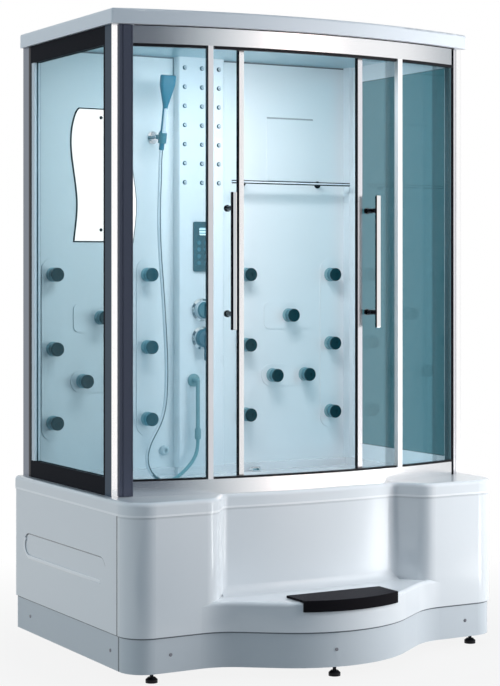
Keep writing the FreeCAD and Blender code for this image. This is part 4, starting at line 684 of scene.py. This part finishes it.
# %% Give every solid its finish
by_slot = {
    "white_acrylic": white_acrylic, "roof_acrylic": roof_acrylic, "black_pad": black_pad,
    "black_plastic": black_plastic, "galvanised": powder_coat, "screw_steel": screw_metal,
    "bright_chrome": chrome, "bright_aluminium": rail_metal, "dark_aluminium": anodised,
    "clear_glass": clear_glass, "mirror_glass": mirror_glass, "teal_jet": jet_teal, "jet_ring": socket_teal,
    "panel_face": panel_face, "hose_plastic": hose_silver, "shower_blue": shower_blue,
    "brass_body": brass, "pipe_white": pipe_white, "nylon": nylon,
}
own_finish = {
    "bathtub": tub_acrylic, "front_apron": front_acrylic,
    "left_apron": side_acrylic, "right_apron": side_acrylic,
    "front_plinth": plinth_acrylic, "left_plinth": plinth_acrylic, "right_plinth": plinth_acrylic,
    "left_back_panel": wall_acrylic, "right_back_panel": relief_acrylic, "centre_column": column_acrylic,
    "ceiling_panel": ceiling_acrylic, "rear_posts": satin_metal, "right_front_post": right_post_metal,
    "left_side_frame": left_frame_painted_reflection, "right_side_frame": right_frame_metal, "corner_trims": trim_metal,
    "fixed_stiles": stile_metal, "left_door_stile": left_stile_metal, "right_door_stile": right_stile_metal,
    "left_door_handle": left_handle_metal, "right_door_handle": right_handle_metal,
    "left_side_glass": left_glass, "right_side_glass": side_glass, "left_fixed_glass": left_pane,
    "right_fixed_glass": right_pane, "right_door_glass": right_door_pane, "towel_bar": towel_painted_reflection,
    "column_nozzles": nozzle_painted_reflection, "steam_outlet": pale_plastic, "hose_elbow": elbow_teal,
    "shower_holder": dial_teal, "diverter_knob": diverter_teal, "mixer_lever": mixer_teal,
}


def dress(thing, material):
    """One finish on every face of a piece or a solid."""
    if thing.material_slots:
        for entry in thing.material_slots:
            entry.material = material
    else:
        thing.data.materials.append(material)


for entry in frame["record"]["subparts"]:
    name = entry["node"]
    dress(nodes[name], own_finish.get(name, by_slot[entry["material_slot"]]))
for piece in (hose_run, hose_end):
    dress(piece, hose_silver)
print("dressed", len(nodes), "solids")

# %% [markdown]
# ## Cover strip on the left post
# A dark extruded strip covers the joint of the left post and the ends of the bowed rails.
# In plan it is a thin plate bent like the bow, with two grooves and a leg that reaches back to the post.
# So its outline is a list of angles and of heights above the bow, extruded up.


# %% Make the cover strip
def keep_piece(name, shape, body, material):
    """Turn a bmesh into a finished piece: doubles merged, normals outward."""
    bmesh.ops.remove_doubles(shape, verts=shape.verts[:], dist=1e-6)
    bmesh.ops.recalc_face_normals(shape, faces=shape.faces[:])
    mesh = bpy.data.meshes.new(name)
    shape.to_mesh(mesh)
    shape.free()
    piece = add_piece(name, mesh, body)
    mesh.set_sharp_from_angle(angle=math.radians(35))
    dress(piece, material)
    print(name, len(mesh.polygons), "faces")
    return piece


def raise_outline(shape, outline, low, high):
    """A plan outline as a face at one height, extruded to another."""
    face = shape.faces.new([shape.verts.new((x, y, low)) for x, y in outline])
    grown = bmesh.ops.extrude_face_region(shape, geom=[face])
    top = [v for v in grown["geom"] if isinstance(v, bmesh.types.BMVert)]
    bmesh.ops.translate(shape, verts=top, vec=(0, 0, high - low))


def on_bow(angle, above):
    """A plan point at an angle to the right of straight ahead, some millimetres in front of the bow."""
    reach = BOW_RADIUS + above / 1000
    return reach * math.sin(math.radians(angle)), BOW_Y - reach * math.cos(math.radians(angle))


COVER_FRONT = [
    (-17.66, 2.0), (-17.62, 2.8), (-17.42, 3.0), (-17.40, 1.4), (-17.33, 1.4), (-17.31, 3.0), (-16.98, 3.1),
    (-16.66, 3.0), (-16.64, 1.6), (-16.58, 1.6), (-16.56, 2.6), (-16.50, 2.0), (-16.50, 0.3), (-17.08, 0.3),
]
COVER_START = (-0.6890, -0.1830)
COVER_BACK = [(-0.6868, -0.1880), (-0.6868, -0.1830)]
COVER_FOOT, COVER_TOP = 0.5925, 2.1595
strip = bmesh.new()
cover_plan = [COVER_START] + [on_bow(*point) for point in COVER_FRONT] + COVER_BACK
raise_outline(strip, cover_plan, COVER_FOOT, COVER_TOP)
keep_piece("left_post_cover", strip, "cabin", cover_anodised)

# %% [markdown]
# ## Glazing gaskets
# The panes stand in black rubber along both bowed rails, and a thin bead seals the cover to the upper one.
# A gasket is one small outline swept round the bow's axis, which is just what spin does,
# so its ends stay square and its curve is the rails' own.


# %% Spin the gaskets
def spin_arc(shape, outline, start, end, steps):
    """Sweep an outline of radius and height round the bow's axis, between angles from straight ahead."""
    start, end = math.radians(start), math.radians(end)
    places = [Vector((r * math.sin(start), BOW_Y - r * math.cos(start), z)) for r, z in outline]
    face = shape.faces.new([shape.verts.new(place) for place in places])
    bmesh.ops.spin(shape, geom=[face], cent=(0, BOW_Y, 0), axis=(0, 0, 1), dvec=(0, 0, 0),
                   angle=end - start, steps=steps, use_merge=False)


PANE_ANGLES = ((-17.0, -10.15), (-9.35, 9.35), (10.15, 17.0))
GASKET_HEIGHTS = ((0.6405, 0.6475), (2.0890, 2.0995))
inner, outer = BOW_RADIUS - 0.0165, BOW_RADIUS - 0.0005
gaskets = bmesh.new()
for low, high in GASKET_HEIGHTS:
    for start, end in PANE_ANGLES:
        spin_arc(gaskets, [(inner, low), (outer, low), (outer, high), (inner, high)], start, end, 24)
back, front = BOW_RADIUS - 0.004, BOW_RADIUS + 0.0012
under_cover = [(back, 2.1570), (front, 2.1575), (front, 2.1605), (back, 2.1605)]
spin_arc(gaskets, under_cover, -16.4, 17.2, 48)
keep_piece("glazing_gaskets", gaskets, "cabin", black_plastic)

# %% [markdown]
# ## Keys and display of the control panel
# The panel is a glossy plate with a small lit display and two columns of soft round keys.
# A key is a disc that is extruded from the panel, and its top is scaled down, so that its rim slopes.
# The display is a thin box with rounded corners.

# %% Make the keys and the display
PANEL_FACE = 0.5165
KEY_RADIUS, KEY_RISE, KEY_TOP = 0.0085, 0.0018, 0.8
KEY_SIDE, KEY_PITCH, LOWEST_KEY = 0.0155, 0.026, 1.372
DISPLAY_MIDDLE = (0.006, PANEL_FACE - 0.0004, 1.494)
DISPLAY_SIZE = (0.040, 0.0012, 0.030)
keys = bmesh.new()
for row in range(4):
    for side in (-1, 1):
        place = Matrix.Translation((side * KEY_SIDE, PANEL_FACE, LOWEST_KEY + row * KEY_PITCH))
        disc = bmesh.ops.create_circle(keys, cap_ends=True, segments=20, radius=KEY_RADIUS,
                                       matrix=place @ Matrix.Rotation(math.radians(90), 4, "X"))
        face = disc["verts"][0].link_faces[0]
        grown = bmesh.ops.extrude_face_region(keys, geom=[face])
        cap = [v for v in grown["geom"] if isinstance(v, bmesh.types.BMVert)]
        bmesh.ops.translate(keys, verts=cap, vec=(0, -KEY_RISE, 0))
        bmesh.ops.scale(keys, verts=cap, vec=(KEY_TOP, 1.0, KEY_TOP), space=place.inverted())
keep_piece("panel_keys", keys, "cabin", dial_teal)
plate = bmesh.new()
bmesh.ops.create_cube(plate, size=1.0,
                      matrix=Matrix.Translation(DISPLAY_MIDDLE) @ Matrix.Diagonal((*DISPLAY_SIZE, 1.0)))
corners = [e for e in plate.edges if abs(e.verts[0].co.y - e.verts[1].co.y) > DISPLAY_SIZE[1] / 2]
bmesh.ops.bevel(plate, geom=corners, offset=0.005, segments=4, profile=0.5, affect="EDGES", material=-1)
keep_piece("panel_display", plate, "cabin", display_glow)

# %% [markdown]
# ## Mirror
# The mirror is a plate with waved sides and a ground edge, which is painted dark all round as a painted
# reflection. Each side is a NURBS line through a few points. The outline is extruded from the wall, and its
# front is inset, so that the ground edge is a real slope.

# %% Make the mirror
MIRROR_RIM, GROUND_EDGE = 0.001, 0.005
left_wave = [(-0.5220, 1.4490), (-0.5175, 1.4900), (-0.5110, 1.5380), (-0.5080, 1.5940), (-0.5125, 1.6470),
             (-0.5216, 1.7080), (-0.5305, 1.7680), (-0.5345, 1.8200), (-0.5310, 1.8750), (-0.5180, 1.9240),
             (-0.5080, 1.9440), (-0.4990, 1.9515)]
right_wave = [(-0.3010, 1.9515), (-0.2900, 1.9440), (-0.2845, 1.9240), (-0.2835, 1.8750), (-0.2840, 1.8200),
              (-0.2800, 1.7680), (-0.2711, 1.7080), (-0.2620, 1.6470), (-0.2575, 1.5940), (-0.2605, 1.5380),
              (-0.2670, 1.4900), (-0.2715, 1.4490)]
outline = []
for wave in (left_wave, right_wave):
    line = tube_mesh("mirror_wave", [(x, MIRROR_BACK, z) for x, z in wave], 0.0)
    outline += [vertex.co.copy() for vertex in line.vertices]
plate = bmesh.new()
back = plate.faces.new([plate.verts.new(place) for place in outline])
grown = bmesh.ops.extrude_face_region(plate, geom=[back], use_keep_orig=True)
front = [face for face in grown["geom"] if isinstance(face, bmesh.types.BMFace)]
bmesh.ops.translate(plate, verts=front[0].verts[:], vec=(0, -MIRROR_RIM, 0))
bmesh.ops.inset_region(plate, faces=front, thickness=GROUND_EDGE, use_even_offset=True)
bmesh.ops.translate(plate, verts=front[0].verts[:], vec=(0, MIRROR_FRONT - MIRROR_BACK + MIRROR_RIM, 0))
mirror_plate = keep_piece("mirror_plate", plate, "cabin", mirror_glass)
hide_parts("mirror")

# %% [markdown]
# ## Caps on the mirror's screws
# The mirror hangs on two screws with small dark domes. A dome is a quarter of an outline, spun once round.

# %% Spin the caps
CAP_RADIUS, CAP_RISE = 0.0065, 0.004
caps = bmesh.new()
for height in (1.9165, 1.4957):
    middle = Vector((-0.409, UNDER_FRONT, height))
    arch = [middle] + [middle + Vector((CAP_RADIUS * math.cos(a), -CAP_RISE * math.sin(a), 0))
                       for a in (0.0, 0.4, 0.8, 1.2, math.pi / 2)]
    points = [caps.verts.new(place) for place in arch]
    edges = [caps.edges.new(pair) for pair in zip(points, points[1:])]
    bmesh.ops.spin(caps, geom=points + edges, cent=middle, axis=(0, 1, 0), dvec=(0, 0, 0),
                   angle=2 * math.pi, steps=20, use_merge=True)
keep_piece("mirror_caps", caps, "cabin", black_plastic)

# %% [markdown]
# ## Cove of the step
# The bay's wall runs into the tread in a soft hollow, as it must to leave its mould.
# The hollow follows the bow, so it is an outline with a concave edge, spun like the gaskets.

# %% Spin the cove
COVE = 0.032
TREAD = 0.2500
SUNK = 0.0005
bay_wall = BOW_RADIUS + 0.009
behind_wall = bay_wall - 2 * SUNK
hollow = [(behind_wall, TREAD - SUNK), (bay_wall + COVE, TREAD - SUNK)]
hollow += [(bay_wall + COVE * (1 - math.sin(a)), TREAD + COVE * (1 - math.cos(a)))
           for a in (math.radians(d) for d in range(0, 91, 10))]
hollow.append((behind_wall, TREAD + COVE))
cove = bmesh.new()
spin_arc(cove, hollow, -8.9, 8.9, 40)
keep_piece("bay_cove", cove, "cabin", white_acrylic)

# %% [markdown]
# ## Beads of the side recesses
# Each side apron has a long pressed recess whose lower edge rolls out again in a soft bead. The bead runs
# round the recess's rear end and dies out towards the front. It is a tube along half of that outline,
# pressed flat against the apron: its vertices are scaled across the apron's face. Its finish is paler
# than the apron's, as a painted highlight.

# %% Make the beads
APRON_FACE, BEAD_RADIUS, BEAD_FLATNESS = 0.738, 0.0070, 0.33
BEAD_BEHIND, BEAD_BELOW = 0.0465, 0.040
recess_end, recess_low = RECESS_MIDDLE + RECESS_HALF, RECESS_HEIGHT - BEAD_BELOW
turn = [(recess_end + BEAD_BEHIND * math.sin(a), RECESS_HEIGHT + BEAD_BELOW * math.cos(a))
        for a in (0.8, 1.2, 1.6, 2.0, 2.4, 2.8)]
straight = [(recess_end - 0.1 * step, recess_low) for step in range(5)]
beads = bmesh.new()
for side in (-1, 1):
    face = side * APRON_FACE
    route = [(face, y, z) for y, z in turn + straight]
    route += [(face - side * 0.004, recess_end - 0.5, recess_low),
              (face - side * 0.014, recess_end - 0.6, recess_low)]
    bead = tube_mesh("bead", route, BEAD_RADIUS)
    beads.from_mesh(bead)
    bpy.data.meshes.remove(bead)
    new = [vertex for vertex in beads.verts if vertex.co.x * side > 0]
    bmesh.ops.scale(beads, verts=new, vec=(BEAD_FLATNESS, 1, 1), space=Matrix.Translation((-face, 0, 0)))
bmesh.ops.holes_fill(beads, edges=[edge for edge in beads.edges if edge.is_boundary])
keep_piece("recess_beads", beads, "cabin", bead_painted_highlight)

# %% [markdown]
# ## Light and floor
# A white studio: a soft key light near the right front corner, a weaker cool one at the left, two in the
# cabin, and a pale floor that keeps the shadow. What the camera, the metals and the glass see of the studio
# is plain white, apart from a few cards: a dark one that pales to the right draws the shaded end of each
# polished rail, and a second one lies on the floor before it for whatever is seen from above. A grey card
# at the right shades the rails' other end. Between them stands the white one that the mirror sees, and
# a bright strip on the floor shines in the bay. The lamps are hidden from reflections, so the cards alone
# draw them. The floor shows white too, but near the cabin about a tenth of it is left to the lamps,
# so that the shadow stays.

# %% World
world = bpy.data.worlds.new("studio")
scene.world = world
world.use_nodes = True
world.node_tree.nodes.clear()
sky = Wire(world.node_tree)


def seen_by(wire):
    """1 for what the camera, a reflection or a clear pane sees, 0 for light that falls on the object."""
    seen = wire.node("ShaderNodeLightPath", output="Is Camera Ray")
    for ray in ("Is Glossy Ray", "Is Transmission Ray"):
        seen = either(seen, wire.node("ShaderNodeLightPath", output=ray))
    return seen


cool = sky.node("ShaderNodeBackground", values={"Color": (0.208, 0.272, 0.327, 1), "Strength": 1.0})
white = sky.node("ShaderNodeBackground", values={"Color": (1, 1, 1, 1), "Strength": 1.0})
both = sky.node("ShaderNodeMixShader", values={0: seen_by(sky), 1: cool, 2: white})
sky.node("ShaderNodeOutputWorld", values={"Surface": both})


# %% Lamps
def lamp(name, place, aim, size, watts, colour=(1, 1, 1)):
    """A soft rectangular lamp that aims at a place and shows in no picture or reflection."""
    data = bpy.data.lights.new(name, "AREA")
    data.shape = "RECTANGLE"
    data.size, data.size_y = size
    data.energy = watts
    data.color = colour
    thing = bpy.data.objects.new(name, data)
    thing.location = place
    thing.rotation_euler = (Vector(aim) - Vector(place)).to_track_quat("-Z", "Y").to_euler()
    thing.visible_camera = False
    thing.visible_glossy = False
    scene.collection.objects.link(thing)


LAMP_TINT = (0.94, 0.975, 1.0)
lamp("key_light", (2.6, -2.25, 1.5), (0, -0.2, 0.7), (1.6, 2.2), 108)
lamp("fill_light", (-4.4, 0.3, 1.8), (0, 0, 0.9), (2.4, 2.4), 46, (0.90, 0.98, 1.0))
lamp("cabin_light", (-0.06, -0.05, 2.13), (-0.06, 0.35, 0.9), (0.7, 0.4), 13.0, LAMP_TINT)
lamp("wall_light", (0.25, -0.18, 0.95), (0.25, 0.6, 0.95), (0.7, 1.1), 2.3, LAMP_TINT)
print("lamps ready")

# %% Floor
NEAR_GLOW = 0.88
floor_finish, floor_shader, floor_wire = new_finish("pale_floor", Base_Color=(0.24, 0.25, 0.26, 1),
                                                    Roughness=0.6)
glow = floor_wire.node("ShaderNodeEmission", values={"Color": (1, 1, 1, 1), "Strength": 1.0})
reach = length_of(axis_of(floor_wire, "X"), axis_of(floor_wire, "Y"))
far = floor_wire.node("ShaderNodeMapRange", values={"Value": reach, "From Min": 0.9, "From Max": 2.2})
white_share = seen_by(floor_wire) * (far * (1 - NEAR_GLOW) + NEAR_GLOW)
lit = floor_wire.node("ShaderNodeMixShader",
                      values={0: white_share, 1: Wire(floor_wire.tree, floor_shader.outputs[0]), 2: glow})
floor_wire.tree.links.new(lit.socket, floor_finish.node_tree.nodes["Material Output"].inputs["Surface"])


def sheet_of(name, corner_size, material):
    """A flat square on the stage, made at the origin."""
    shape = bmesh.new()
    bmesh.ops.create_grid(shape, x_segments=1, y_segments=1, size=corner_size)
    mesh = bpy.data.meshes.new(name)
    shape.to_mesh(mesh)
    shape.free()
    mesh.materials.append(material)
    thing = bpy.data.objects.new(name, mesh)
    scene.collection.objects.link(thing)
    thing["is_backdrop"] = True
    return thing


sheet_of("floor", 30.0, floor_finish)
print("floor ready")


# %% Cards that the shiny pieces reflect
def card(name, place, turn, size, stops, strength=1.0, tilt=90):
    """A card that only reflections see; its colour runs along it in stops of share and colour."""
    finish, _, wire = new_finish(name)
    along = wire.node("ShaderNodeTexCoord", output="UV")
    share = wire.node("ShaderNodeSeparateXYZ", values={0: along}, output="X")
    ramp = wire.node("ShaderNodeValToRGB", {"stops": stops}, {0: share})
    shine = wire.node("ShaderNodeEmission", values={"Color": ramp, "Strength": strength})
    wire.tree.links.new(shine.socket, finish.node_tree.nodes["Material Output"].inputs["Surface"])
    flag = sheet_of(name, 0.5, finish)
    layer = flag.data.uv_layers.new(name="along")
    for loop in flag.data.loops:
        layer.data[loop.index].uv = [c + 0.5 for c in flag.data.vertices[loop.vertex_index].co.xy]
    flag.data.transform(Matrix.Translation(place) @ Matrix.Rotation(math.radians(turn), 4, "Z")
                        @ Matrix.Rotation(math.radians(tilt), 4, "X") @ Matrix.Diagonal((*size, 1.0, 1.0)))
    for ray in ("camera", "diffuse", "shadow", "transmission"):
        setattr(flag, "visible_" + ray, False)


DARK, DUSK, NIGHT = (0.055, 0.07, 0.09), (0.10, 0.12, 0.15), (0.12, 0.148, 0.187)
SHADE, CLOUD, GREY = (0.37, 0.41, 0.44), (0.44, 0.49, 0.52), (0.74, 0.77, 0.79)
WHITE, WARM, DIM = (1.0, 1.0, 1.0), (1.0, 0.86, 0.82), (0.11, 0.11, 0.11)
card("left_card", (-0.5, -4.3, 1.75), 0, (4.0, 3.6),
     [(0.0, DARK), (0.45, DUSK), (0.66, CLOUD), (0.8, GREY), (0.9, WHITE)])
card("left_floor_card", (-0.7, -2.75, 0.003), 0, (3.8, 3.0),
     [(0.0, NIGHT), (0.5, NIGHT), (0.7, SHADE), (1.0, WHITE)], tilt=0)
card("right_card", (4.0, -1.5, 2.10), 90, (2.4, 3.6), [(0.0, WHITE), (0.6, SHADE), (1.0, SHADE)])
card("white_card", (2.1, -4.36, 1.75), 0, (1.6, 3.6), [(0.0, WARM), (1.0, WARM)], 2.0)
card("bay_shine", (2.49, -2.31, 0.004), 47.6, (0.55, 2.6),
     [(0.0, DIM), (0.6, WHITE), (1.0, WHITE)], 9.0, tilt=0)
print("cards ready")

# %% [markdown]
# ## Sizes
# The box of the dressed cabin is measured and printed.

# %% Measure the dressed cabin's box
low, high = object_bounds()
print("visual box", [round(x, 3) for x in low], [round(x, 3) for x in high])
